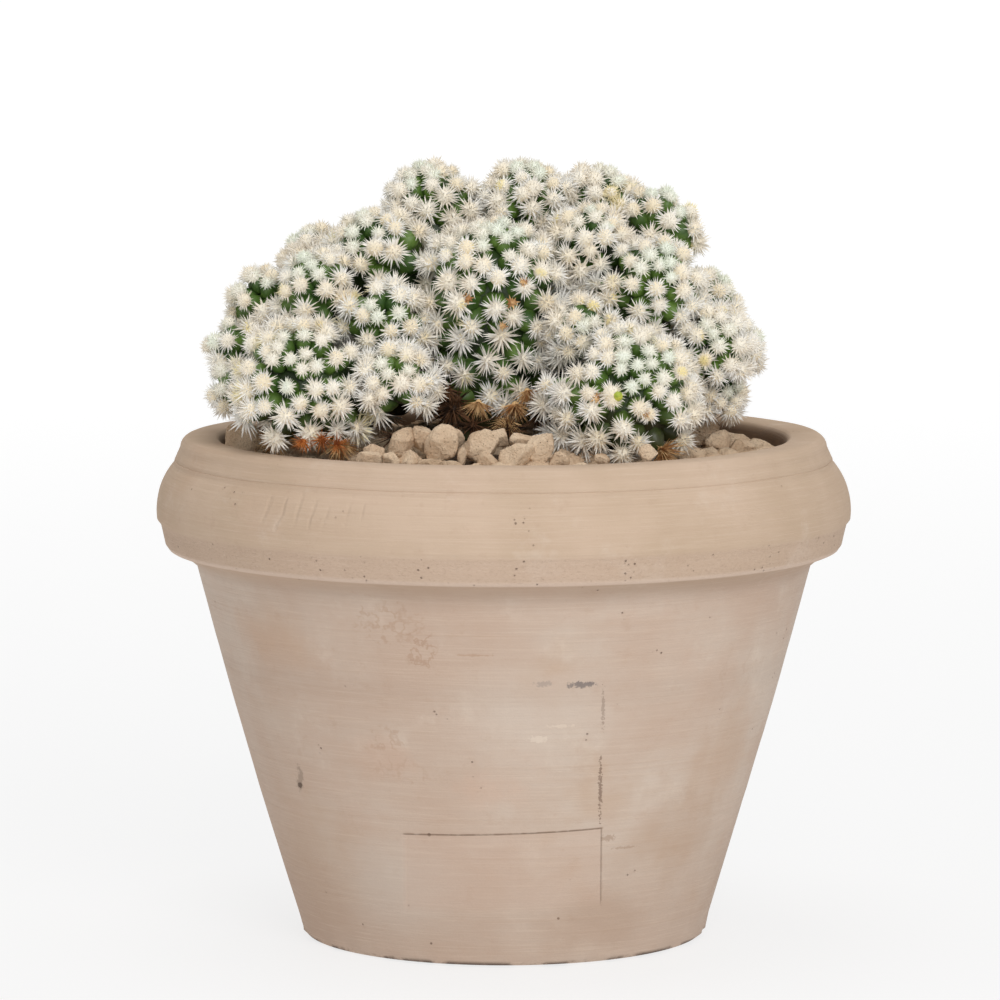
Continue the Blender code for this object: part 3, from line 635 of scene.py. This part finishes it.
def terracotta(spot, grit):
    made, graph, shader, place = new_material("terracotta")
    turned = graph.noise(graph.vector("MULTIPLY", place, (2, 2, 260)), 5.0, 4.0, 0.65)
    brushed = graph.noise(graph.vector("MULTIPLY", place, (6, 6, 300)), 13.0, 4.0, 0.7)
    coarse = graph.noise(graph.vector("MULTIPLY", place, (1, 1, 2)), 1300.0, 4.0, 0.7)
    height = graph.xyz(place)["Z"]
    band = graph.band(height, (0.0780, 0.0792), (0.0834, 0.0848))
    some = graph.patches(place, 120, 2, 0.66, 0.72)
    more = graph.product(band, graph.patches(place, 160, 2, 0.54, 0.64))
    pits = graph.group(grit, Vector=place, Scale=800.0)["Pits"]
    pits = graph.product(pits, graph.math("MAXIMUM", some, more))
    # edges carries the painted shadow along the field's upper and right edges
    field, edges = stamped_field(graph, place)
    edges = graph.product(edges, graph.patches(place, 500, 2, 0.25, 0.55))
    across = graph.length(graph.vector("MULTIPLY", place, (1, 1, 0)))
    # painted shade on the pot's inner wall
    painted_inside_shade = graph.product(graph.fall(across, 0.0565, 0.0580), graph.ramp(height, 0.05, 0.09))
    clay = clay_colour(graph, place, turned, brushed)
    clay = rough_band(graph, clay, band, coarse)
    clay = graph.stain(clay, pits, 0.65, rgb(112, 88, 74))
    clay = dark_foot_and_painted_rim_shade_and_highlight(graph, clay, place, height)
    clay = marked(graph, clay, place, spot)
    # painted shadow along the field's upper and right edges
    clay = graph.stain(clay, edges, 0.6, rgb(144, 116, 96))
    clay = graph.stain(clay, field, 0.20, rgb(200, 168, 148))
    clay = graph.stain(clay, painted_inside_shade, 0.85, rgb(96, 74, 58))
    normal = graph.bump(turned, 0.00025, 0.6)
    normal = graph.bump(brushed, 0.00010, 0.5, normal)
    normal = graph.bump(graph.noise(place, 1500, 3, 0.6), 0.00012, 0.5, normal)
    normal = graph.bump(graph.product(coarse, band), 0.00030, 0.6, normal)
    normal = graph.bump(graph.product(pits, -1.0), 0.0004, 0.8, normal)
    normal = graph.bump(graph.product(field, -1.0), FIELD_DEPTH, 0.8, normal)
    normal = graph.bump(graph.product(press_marks(graph, place, spot), -1.0), 0.0003, 0.5, normal)
    finished(graph, shader, clay, 0.88, 0.25, normal)
    return made


def flesh(name, shade, light):
    made, graph, shader, place = new_material(name)
    green = graph.mix(graph.patches(place, 140, 3, 0.35, 0.65), shade, light)
    green = graph.stain(green, graph.patches(place, 900, 2, 0.5, 0.7), 0.3, light)
    # painted shade towards the clump's foot, in a brown like older flesh
    green = graph.stain(green, graph.fall(graph.xyz(place)["Z"], 0.103, 0.113), 0.7, rgb(60, 48, 30))
    finished(graph, shader, green, 0.42, 0.45, graph.bump(graph.noise(place, 2200, 2), 0.0001, 0.35))
    return made


def hairy(name, pale, deep, scale, roughness, aged=None):
    """A material of spines or wool, with a shade that drifts from one areole to the next."""
    made, graph, shader, place = new_material(name)
    colour = graph.mix(graph.patches(place, scale, 2, 0.36, 0.66), pale, deep)
    if aged:
        colour = graph.stain(colour, graph.patches(place, scale * 0.7, 1, 0.66, 0.72), 0.8, aged)
    finished(graph, shader, colour, roughness, 0.3, graph.bump(graph.noise(place, 4200, 2, 0.6), 0.0002, 0.5))
    return made


def pumice(grit):
    made, graph, shader, place = new_material("pumice")
    grain = graph.group(grit, Vector=place, Scale=1100.0)
    holes = graph.product(grain["Pits"], graph.patches(place, 260, 2, 0.45, 0.6))
    stone = graph.mix(graph.patches(place, 160, 2, 0.35, 0.65), rgb(216, 188, 158), rgb(232, 207, 178))
    stone = graph.stain(stone, graph.patches(place, 90, 1, 0.55, 0.7), 0.6, rgb(176, 146, 116))
    stone = graph.stain(stone, holes, 0.6, rgb(120, 94, 72))
    stone = graph.stain(stone, graph.patches(place, 2600, 2, 0.5, 0.7, 0.6), 0.35, rgb(168, 138, 110))
    rough = graph.bump(graph.noise(place, 700, 4, 0.7), 0.0009, 0.8)
    finished(graph, shader, stone, 0.92, 0.2, graph.bump(grain["Height"], 0.0005, 0.8, rough))
    return made


def earth(grit):
    made, graph, shader, place = new_material("soil")
    crumbs = graph.group(grit, Vector=place, Scale=700.0)
    colour = graph.mix(graph.patches(place, 300, 3, 0.4, 0.65), rgb(62, 46, 34), rgb(104, 82, 62))
    finished(graph, shader, colour, 0.95, 0.5, graph.bump(crumbs["Height"], 0.0006, 0.8))
    return made


# The pot


def arc(centre, radius, start, end, steps):
    """Points (r, z) on a circle, between two angles in degrees."""
    turns = (radians(start + (end - start) * k / steps) for k in range(steps + 1))
    return [(centre[0] + radius * cos(turn), centre[1] + radius * sin(turn)) for turn in turns]


def softened(start, end, steps):
    """Points on a straight run, without its last point."""
    return [tuple(a + (b - a) * k / steps for a, b in zip(start, end)) for k in range(steps)]


def wall_outline(spans):
    points = []
    for k in range(spans + 1):
        share = k / spans
        radius = WALL_TOP[0] + (WALL_FOOT[0] - WALL_TOP[0]) * share + WALL_BULGE * sin(pi * share)
        points.append((radius, WALL_TOP[1] + (WALL_FOOT[1] - WALL_TOP[1]) * share))
    return points


def pot_outline():
    lip_z = POT_HEIGHT - LIP_ROUND
    roll = arc((RIM_RADIUS - ROLL_RADIUS, RIM_WIDEST_Z), ROLL_RADIUS, 42, -6, 16)
    outline = arc((LIP_OUTER - LIP_ROUND, lip_z), LIP_ROUND, 90, 5, 6)
    outline += softened((LIP_OUTER, lip_z), BEVEL, 3)
    out, high = BEVEL
    outline += [BEVEL, (out - GROOVE * 0.4, high - GROOVE), (out + GROOVE, high - GROOVE * 1.6)]
    outline += roll
    outline += softened(BAND_TOP, BAND_FOOT, 3) + [BAND_FOOT]
    outline += softened(BAND_EDGE, UNDERSIDE, 3)
    outline += softened(UNDERSIDE, WALL_TOP, 2)
    outline += wall_outline(WALL_SPANS)
    outline += [*FOOT_EDGE, (BASE_RADIUS, 0), (DRAIN_RADIUS, 0), (DRAIN_RADIUS, FLOOR_THICKNESS)]
    outline += [INNER_FOOT, (INNER_FOOT[0] + INNER_FILLET[0], FLOOR_THICKNESS + INNER_FILLET[1])]
    outline += softened(INNER_SHOULDER, (LIP_INNER, lip_z - INNER_LIP_DROP), 4)
    outline += arc((LIP_INNER + LIP_ROUND, lip_z), LIP_ROUND, 190, 90, 7)[:-1]
    return outline


def make_pot(finish):
    bm = bmesh.new()
    points = [bm.verts.new((r, 0, z)) for r, z in pot_outline()]
    edges = [bm.edges.new((a, b)) for a, b in zip(points, points[1:] + points[:1])]
    bmesh.ops.spin(
        bm,
        geom=points + edges,
        cent=(0, 0, 0),
        axis=(0, 0, 1),
        dvec=(0, 0, 0),
        angle=tau,
        steps=POT_STEPS,
        use_merge=True,
    )
    bmesh.ops.remove_doubles(bm, verts=bm.verts[:], dist=1e-6)
    bmesh.ops.recalc_face_normals(bm, faces=bm.faces[:])
    for vert in bm.verts:
        vert.co = thrown(vert.co)
    for face in bm.faces:
        face.smooth = True
    made = piece("terracotta_pot", bm, [finish], "pot")
    made.data.set_sharp_from_angle(angle=radians(48))
    return made


def thrown(point):
    """The slight unevenness of a pot that was turned by hand."""
    reach = hypot(point.x, point.y)
    if reach < DRAIN_RADIUS * 1.5 or point.z < 0.0005:
        return point
    wave = noise.noise(point * 22) * THROWN_WAVE + noise.noise(point * 90) * THROWN_RIPPLE
    ridge = noise.noise(Vector((point.x * 4, point.y * 4, point.z * 420))) * THROWN_RIDGE
    out = 1 + (wave + ridge) / reach
    if point.z < ROUGH_FOOT_TO:
        out += noise.noise(point * 240) * ROUGH_FOOT / reach
    rise = noise.noise(point * 30 + Vector((3, 1, 7))) * RIM_WAVE if point.z > RIM_FROM else 0
    return Vector((point.x * out, point.y * out, point.z + rise))


# The gravel


def inside_radius(z):
    low, high = INNER_SHOULDER, (LIP_INNER, POT_HEIGHT - LIP_ROUND)
    return low[0] + (high[0] - low[0]) * (z - low[1]) / (high[1] - low[1])


def bed_height(x, y):
    dome = BED_RISE * (1 - (hypot(x, y) / LIP_INNER) ** 2)
    away = hypot(x - HEAP_PLACE[0], y - HEAP_PLACE[1]) / HEAP_REACH
    return BED_EDGE_Z + dome + HEAP_RISE * exp(-away * away)


def add_stone(bm, centre, sizes, lean, draw, fineness):
    """A broken, pitted pebble."""
    shape = bmesh.new()
    bmesh.ops.create_icosphere(shape, subdivisions=fineness, radius=1)
    seed = three(lambda: draw.uniform(0, 90))
    flats = []
    for _ in range(STONE_FLATS):
        normal = three(lambda: draw.gauss(0, 1)).normalized()
        flats.append((normal, draw.uniform(*STONE_FLAT_OFFSETS)))
    for vert in shape.verts:
        point = vert.co * (1 + STONE_LUMPS * noise.noise(vert.co * 1.3 + seed))
        for normal, offset in flats:
            over = point.dot(normal) - offset
            if over > 0:
                point -= normal * over * STONE_FLATTENING
        point *= 1 + 0.07 * noise.noise(point * 4 + seed) + 0.05 * noise.noise(point * 10 + seed)
        vert.co = Vector((point.x * sizes[0], point.y * sizes[1], point.z * sizes[2])) * STONE_SWELL
    if fineness < 3:
        for face in shape.faces:
            face.tag = True
    mesh = template(shape, "stone")
    stamp(bm, mesh, Matrix.Translation(centre) @ Matrix.Rotation(lean, 4, "Y"))
    bpy.data.meshes.remove(mesh)


def under_a_head(x, y, heads):
    low = (head for head in heads if head.centre.z < SHADED_UNDER)
    return any(hypot(x - head.centre.x, y - head.centre.y) < head.radius - SHADE_INSET for head in low)


def inside_a_head(place, heads):
    return any((place - head.nearest(place)).length < head.core for head in heads)


def bed_shape():
    """The layer that the stones lie in. Its dark soil colour also serves as painted shade in the gaps between
    the stones.
    """
    bm = bmesh.new()
    reach = inside_radius(BED_EDGE_Z) - BED_FREE
    bmesh.ops.create_circle(bm, cap_ends=True, cap_tris=True, segments=72, radius=reach)
    bmesh.ops.subdivide_edges(bm, edges=bm.edges[:], cuts=5, use_grid_fill=True)
    for vert in bm.verts:
        unevenness = BED_ROUGHNESS * noise.noise(vert.co * 300)
        vert.co.z = bed_height(vert.co.x, vert.co.y) - BED_ROUGHNESS + unevenness
    bottom = bmesh.ops.extrude_face_region(bm, geom=bm.faces[:])
    lowered = [item for item in bottom["geom"] if isinstance(item, bmesh.types.BMVert)]
    for vert in lowered:
        vert.co.z = BED_FOOT_Z
    bmesh.ops.recalc_face_normals(bm, faces=bm.faces[:])
    # the soil finish: dark soil, and painted shade in the gaps between the stones
    set_material(bm.faces, 1)
    return template(bm, "bed")


def add_small_stone(bm, x, y, size, draw):
    sizes = (size * draw.uniform(1.0, 1.35), size * draw.uniform(0.85, 1.1), size * draw.uniform(0.65, 0.95))
    centre = (x, y, bed_height(x, y) + size * draw.uniform(0.0, 0.5))
    add_stone(bm, centre, sizes, draw.uniform(-0.7, 0.7), draw, 2)


def make_gravel(finishes, heads):
    bm = bmesh.new()
    bm.from_mesh(bed_shape())
    draw = Random(4)
    for x, y, z, along, deep, tall, lean in FRONT_STONES:
        add_stone(bm, (x, y, z), (along, deep, tall), radians(lean), draw, 4)
    edge = inside_radius(BED_EDGE_Z)
    shaded = []
    for k in range(SMALL_STONES):
        reach = edge * sqrt((k + 0.5) / SMALL_STONES) + draw.uniform(-STONE_STRAY, STONE_STRAY)
        size = draw.uniform(*SMALL_STONE_SIZES)
        reach = min(reach, edge - size - STONE_FREE)
        turn = k * GOLDEN + draw.uniform(-STONE_TURN_STRAY, STONE_TURN_STRAY)
        x, y = reach * sin(turn), -reach * cos(turn)
        if hypot(x - HEAP_PLACE[0], y - HEAP_PLACE[1]) < HEAP_CLEAR:
            continue
        if under_a_head(x, y, heads):
            shaded.append((x, y, size))
        else:
            add_small_stone(bm, x, y, size, draw)
    for x, y, size in shaded:
        if not inside_a_head(Vector((x, y, bed_height(x, y))), heads):
            add_small_stone(bm, x, y, size, draw)
    return piece("pumice_gravel", bm, finishes, "gravel")


# The heads


class Head:
    """A head's place: its crown's centre, the axis down to its foot, and the planes to its neighbours."""

    def __init__(self, name, centre, radius, crown):
        self.name = name
        self.centre = Vector(centre)
        self.radius = radius
        self.crown = Vector(crown).normalized()
        self.foot = Vector(MOTHER_FOOT) if name == MOTHER else self.centre.lerp(ROOT, 0.01)
        over_rim = name == MOTHER or hypot(self.centre.x, self.centre.y) + radius > RIM_REACH
        self.floor = FLOOR_OVER_RIM if over_rim else FLOOR_OVER_GRAVEL
        self.tip = radius - SPINE_REACH
        self.core = self.tip - TUBERCLE_REACH

    def nearest(self, point):
        along = self.foot - self.centre
        share = (point - self.centre).dot(along) / along.length_squared
        return self.centre + along * min(1, max(0, share))

    def set_planes(self, heads):
        self.planes = [(Vector((0, 0, -1)), -self.floor)]
        for other in heads:
            if other is self:
                continue
            start = self.nearest(other.centre) if self.name == MOTHER else self.centre
            end = other.nearest(self.centre) if other.name == MOTHER else other.centre
            between = end - start
            share = self.radius / (self.radius + other.radius)
            normal = between.normalized()
            self.planes.append((normal, normal.dot(start) + between.length * share - GAP / 2))

    def grow(self):
        """Runs the body on towards the plant's root while it has room between its neighbours."""
        if self.name != MOTHER:
            share = TAIL_STEP
            while share < LONGEST_TAIL and self.depth(self.centre.lerp(ROOT, share + TAIL_STEP)) > TAIL_ROOM:
                share += TAIL_STEP
            self.foot = self.centre.lerp(ROOT, share)
        body = self.foot - self.centre
        self.down = body.normalized()
        self.body = body.length
        self.lean = self.crown.rotation_difference(-self.down)
        side = self.crown.orthogonal().normalized()
        self.axes = side, self.crown.cross(side)

    def room(self, start, direction):
        free = 1.0
        for normal, offset in self.planes:
            slope = normal.dot(direction)
            if slope > 0:
                free = min(free, (offset - normal.dot(start)) / slope)
        return free

    def depth(self, point):
        return min(offset - normal.dot(point) for normal, offset in self.planes)

    def quarter(self):
        """The length of the curve from the crown's tip to the body."""
        return self.tip * pi / 2

    def ray(self, along, turn):
        """(start on the axis, direction, share of the full radius) at a length down from the crown's tip."""
        across, over = self.axes
        flat = across * cos(turn) + over * sin(turn)
        past = along - self.quarter()
        if past <= 0:
            polar = along / self.tip
            return self.centre, flat * sin(polar) + self.crown * cos(polar), 1.0
        share = min(1, past / self.body)
        start = self.centre.lerp(self.foot, share)
        polar = pi / 2 + max(0, past - self.body) / self.tip
        direction = Quaternion().slerp(self.lean, share) @ (flat * sin(polar) + self.crown * cos(polar))
        return start, direction, 1 - TAIL_TAPER * share * share


def core_shape(head):
    """The flesh under the tubercles: a globe drawn out along the head's axis."""
    bm = bmesh.new()
    bmesh.ops.create_uvsphere(bm, u_segments=26, v_segments=22, radius=1)
    length = head.quarter() + head.body + head.tip * 0.6
    for vert in bm.verts:
        polar = acos(max(-1, min(1, vert.co.z)))
        start, direction, taper = head.ray(length * polar / pi, atan2(vert.co.y, vert.co.x))
        reach = min(head.core * taper, head.room(start, direction) - 0.0004)
        vert.co = start + direction * max(0.0005, reach)
    # the valleys between the tubercles: a darker green of their own, deepened as painted shade
    set_material(bm.faces, VALLEY_WITH_PAINTED_SHADE)
    return template(bm, "core")


def areoles(head, draw):
    """(tip, direction, age, spacing) of each areole, on one spiral from the crown down."""
    end = head.quarter() + head.body
    along = CROWN_SPACING * CROWN_START
    full = FULL_SPACING_AT * head.quarter()
    k = 0
    while along < end:
        share = min(1, along / full)
        widest = OPEN_SPACING.get(head.name, min(BODY_SPACING, head.tip * SMALL_SPACING))
        spacing = CROWN_SPACING + (widest - CROWN_SPACING) * min(1, SPACING_GROWTH * share)
        wide = head.tip * sin(min(pi / 2, along / head.tip))
        turn = k * GOLDEN + draw.uniform(-0.5, 0.5) * spacing * STRAY / max(wide, spacing)
        start, direction, taper = head.ray(max(0, along + draw.uniform(-0.5, 0.5) * spacing * STRAY), turn)
        reach = head.tip * taper * draw.uniform(0.94, 1.04)
        yield start + direction * reach, direction, along / head.quarter(), spacing
        along += PACKING * spacing * spacing / (tau * max(wide * taper, spacing * 0.3))
        k += 1


def shows(head, tip, direction):
    """Whether an areole is free of the neighbours, above the gravel and looks out of the clump."""
    if head.depth(tip) < CLEFT or direction.z < LOOKS_DOWN:
        return False
    outward = tip - ROOT
    deep = outward.length <= DEEP * (head.centre - ROOT).length
    return direction.dot(outward.normalized()) > LOOKS_INWARDS and not deep


def spine_burst(name, count, length, ball, flat, width, finish, seed):
    """Straight tapering spines that spread from a woolly ball, with +Z as the areole's own direction."""
    draw = Random(seed)
    bm = bmesh.new()
    bmesh.ops.create_icosphere(bm, subdivisions=2, radius=ball)
    set_material(bm.faces, WOOL if finish == SPINES else finish)
    low = cos(radians(flat))
    for k in range(count):
        polar = acos(1 - (1 - low) * (k + 0.5) / count)
        turn = k * GOLDEN + draw.uniform(-0.3, 0.3)
        reach = length * draw.uniform(0.80, 1.10) * (0.84 + 0.16 * sin(polar))
        direction = Vector((sin(polar) * cos(turn), sin(polar) * sin(turn), cos(polar)))
        add_spine(bm, facing((0, 0, 0), direction, turn), reach, width * draw.uniform(0.85, 1.15), finish)
    return template(bm, name)


def add_spine(bm, place, length, width, finish):
    """A spine of three sides that runs to a point, with a flat root."""
    made = bmesh.ops.create_cone(
        bm,
        cap_ends=True,
        segments=3,
        radius1=width / 2,
        radius2=0,
        depth=length,
        matrix=place @ Matrix.Translation((0, 0, length / 2)),
    )
    for face in {face for vert in made["verts"] for face in vert.link_faces}:
        face.material_index = finish
        face.tag = True


def tubercle_shape():
    """A blunt cone of flesh, with its tip at the origin and its root below."""
    bm = bmesh.new()
    bmesh.ops.create_uvsphere(bm, u_segments=7, v_segments=5, radius=1)
    for vert in bm.verts:
        low = (1 - vert.co.z) / 2
        vert.co.x *= 0.32 + 0.22 * low
        vert.co.y *= 0.32 + 0.22 * low
        vert.co.z = (vert.co.z - 1) * 0.55
    set_material(bm.faces, FLESH)
    return template(bm, "tubercle")


def husk_shape():
    """What is left of a withered flower: a few dry flaps round a small knot."""
    draw = Random(8)
    bm = bmesh.new()
    bmesh.ops.create_icosphere(bm, subdivisions=2, radius=0.0006)
    for vert in bm.verts:
        vert.co *= 0.6 + 0.9 * draw.random()
    set_material(bm.faces, GOLDEN_DRY)
    for k in range(9):
        turn = k * GOLDEN
        direction = Vector((cos(turn), sin(turn), draw.uniform(0.1, 0.9))).normalized()
        add_spine(bm, facing((0, 0, 0), direction, turn), draw.uniform(0.0011, 0.0017), 0.0009, GOLDEN_DRY)
    return template(bm, "husk")


def bud_shape():
    """A flower bud that has just come out between the tubercles."""
    bm = bmesh.new()
    bmesh.ops.create_uvsphere(bm, u_segments=12, v_segments=8, radius=0.0010)
    for vert in bm.verts:
        vert.co.z *= 1.6
    set_material(bm.faces, BUD)
    return template(bm, "bud")


def make_shapes():
    """The templates of the areoles by age, three of each, and of what sits on the flesh besides them."""
    kinds = {
        # count, length, ball, widest angle, width at the root, finish
        "crown": (72, 0.00215, 0.00118, 108, 0.00062, YOUNG),
        "young": (76, 0.00265, 0.00148, 110, 0.00068, SPINES),
        "grown": (70, 0.00325, 0.00150, 108, 0.00076, SPINES),
        "old": (54, 0.00390, 0.00125, 104, 0.00080, SPINES),
        "dry": (46, 0.00440, 0.00070, 95, 0.00034, DRY),
        "golden": (74, 0.00470, 0.00060, 68, 0.00038, GOLDEN_DRY),
        "rusty": (48, 0.00380, 0.00070, 85, 0.00036, RUSTY),
    }
    shapes = {}
    for number, (kind, values) in enumerate(kinds.items()):
        shapes[kind] = [spine_burst(f"{kind}_{k}", *values, 10 * number + k) for k in range(VARIANTS)]
    shapes["husk"] = [husk_shape()]
    shapes["bud"] = [bud_shape()]
    shapes["tubercle"] = tubercle_shape()
    return shapes


def make_head(head, shapes, finishes):
    draw = Random(head.name)
    bm = bmesh.new()
    bm.from_mesh(core_shape(head))
    if head.name == MOTHER:
        bm.from_mesh(stem_shape())
    for tip, direction, age, spacing in areoles(head, draw):
        if not shows(head, tip, direction):
            continue
        stray = three(lambda: draw.uniform(-1, 1)) * LEAN_STRAY
        lifted = (direction + head.crown * CROWN_PULL + stray).normalized()
        size = TUBERCLE_SIZE * max(SMALLEST_TUBERCLE, spacing / BODY_SPACING)
        stamp(bm, shapes["tubercle"], facing(tip, direction, draw.uniform(0, tau), size))
        star = draw.choice(shapes[areole_kind(tip, age, head, draw)])
        stamp(bm, star, facing(tip, lifted, draw.uniform(0, tau), draw.uniform(*AREOLE_SIZES)))
    for kind, place, direction, size in TUFTS.get(head.name, ()):
        stamp(bm, draw.choice(shapes[kind]), facing(place, Vector(direction), draw.uniform(0, tau), size))
    return piece("spiny_" + head.name, bm, finishes, head.name)


def areole_kind(tip, age, head, draw):
    """Short dense balls stand round the crown, the longest spines lower down, and the lowest are dry."""
    mother = head.name == MOTHER
    if tip.z < (MOTHER_DRY_UNDER if mother else DRY_UNDER) and draw.random() < DRY_SHARE:
        return "dry" if mother else "golden"
    if age < CROWN_AGE:
        return "crown"
    if age < YOUNG_AGE:
        return "young"
    return "grown" if age < GROWN_AGE or draw.random() < STAYS_GROWN else "old"


def stem_shape():
    """The mother head's stem, which runs down through the gravel into the soil."""
    bm = bmesh.new()
    middle = Matrix.Translation((MOTHER_FOOT[0], MOTHER_FOOT[1], (STEM_FOOT + STEM_TOP) / 2))
    bmesh.ops.create_cone(
        bm,
        cap_ends=True,
        segments=24,
        radius1=STEM_RADIUS * 0.9,
        radius2=STEM_RADIUS,
        depth=STEM_TOP - STEM_FOOT,
        matrix=middle,
    )
    set_material(bm.faces, FLESH)
    return template(bm, "stem")


# The camera, the floor and the light


def make_camera():
    data = bpy.data.cameras.new("camera")
    data.lens = CAMERA_LENS
    data.sensor_width = 36
    data.shift_x = CAMERA_SHIFT
    data.clip_start = 0.05
    data.clip_end = 20
    made = new_object("camera", data)
    made.location = CAMERA_PLACE
    made.rotation_euler = (pi / 2 - CAMERA_PITCH, 0, 0)
    bpy.context.scene.camera = made


def make_floor():
    bm = bmesh.new()
    bmesh.ops.create_grid(bm, x_segments=2, y_segments=2, size=FLOOR_REACH)
    made, graph, shader, place = new_material("pale_floor")
    shade = graph.mix(graph.noise(place, 3, 1), rgb(112, 112, 112), rgb(116, 116, 116))
    graph.feed(shader.inputs["Base Color"], shade)
    shader.inputs["Roughness"].default_value = 0.7
    # painted light: the floor glows, dimmer near the pot as painted shade
    far = graph.ramp(graph.xyz(place)["Y"], *FLOOR_FADE)
    glow = graph.mix(far, (FLOOR_NEAR, FLOOR_NEAR, FLOOR_NEAR, 1), (1, 1, 1, 1))
    graph.feed(shader.inputs["Emission Color"], glow)
    shader.inputs["Emission Strength"].default_value = FLOOR_GLOW
    floor = new_object("floor", new_mesh("floor", bm, [made]))
    floor.location.z = -FLOOR_DROP


def area_light(name, place, size, power):
    data = bpy.data.lights.new(name, "AREA")
    data.shape = "RECTANGLE"
    data.size = data.size_y = size
    data.energy = power
    made = new_object(name, data)
    made.location = place
    made.rotation_euler = (Vector(LIGHT_TARGET) - Vector(place)).to_track_quat("-Z", "Y").to_euler()


def make_light():
    world = bpy.data.worlds.new("studio")
    world.use_nodes = True
    world.node_tree.nodes["Background"].inputs["Color"].default_value = (1, 1, 1, 1)
    world.node_tree.nodes["Background"].inputs["Strength"].default_value = WORLD_LIGHT
    bpy.context.scene.world = world
    for values in LIGHTS:
        area_light(*values)
    bpy.context.scene.view_settings.view_transform = "Standard"


def main():
    make_camera()
    make_floor()
    make_light()
    spot, grit = spot_group(), grain_group()
    heads = [Head(*row) for row in HEADS]
    for head in heads:
        head.set_planes(heads)
        head.grow()
    make_pot(terracotta(spot, grit))
    # ground: the soil's colour, also painted shade between the gravel's stones
    ground = earth(grit)
    make_gravel([pumice(grit), ground], heads)
    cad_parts["soil"].data.materials.clear()
    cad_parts["soil"].data.materials.append(ground)
    finishes = [
        flesh("cactus_flesh", rgb(56, 86, 36), rgb(104, 134, 60)),
        hairy("areole_wool", rgb(246, 239, 224), rgb(242, 228, 200), 160, 0.9, rgb(238, 220, 150)),
        hairy("spines", rgb(248, 246, 241), rgb(244, 236, 222), 150, 0.6, rgb(242, 230, 182)),
        hairy("young_spines", rgb(238, 241, 228), rgb(244, 239, 226), 170, 0.7),
        hairy("dry_spines", rgb(120, 84, 56), rgb(44, 29, 20), 500, 0.7),
        hairy("golden_dry_spines", rgb(232, 196, 144), rgb(164, 112, 66), 420, 0.7),
        hairy("rusty_spines", rgb(196, 122, 62), rgb(136, 72, 34), 500, 0.7),
        hairy("flower_bud", rgb(204, 206, 84), rgb(150, 172, 62), 600, 0.5),
        # darker valley flesh, partly painted shade between the tubercles
        flesh("flesh_between_tubercles", rgb(26, 42, 16), rgb(48, 70, 28)),
    ]
    shapes = make_shapes()
    for head in heads:
        make_head(head, shapes, finishes)


main()
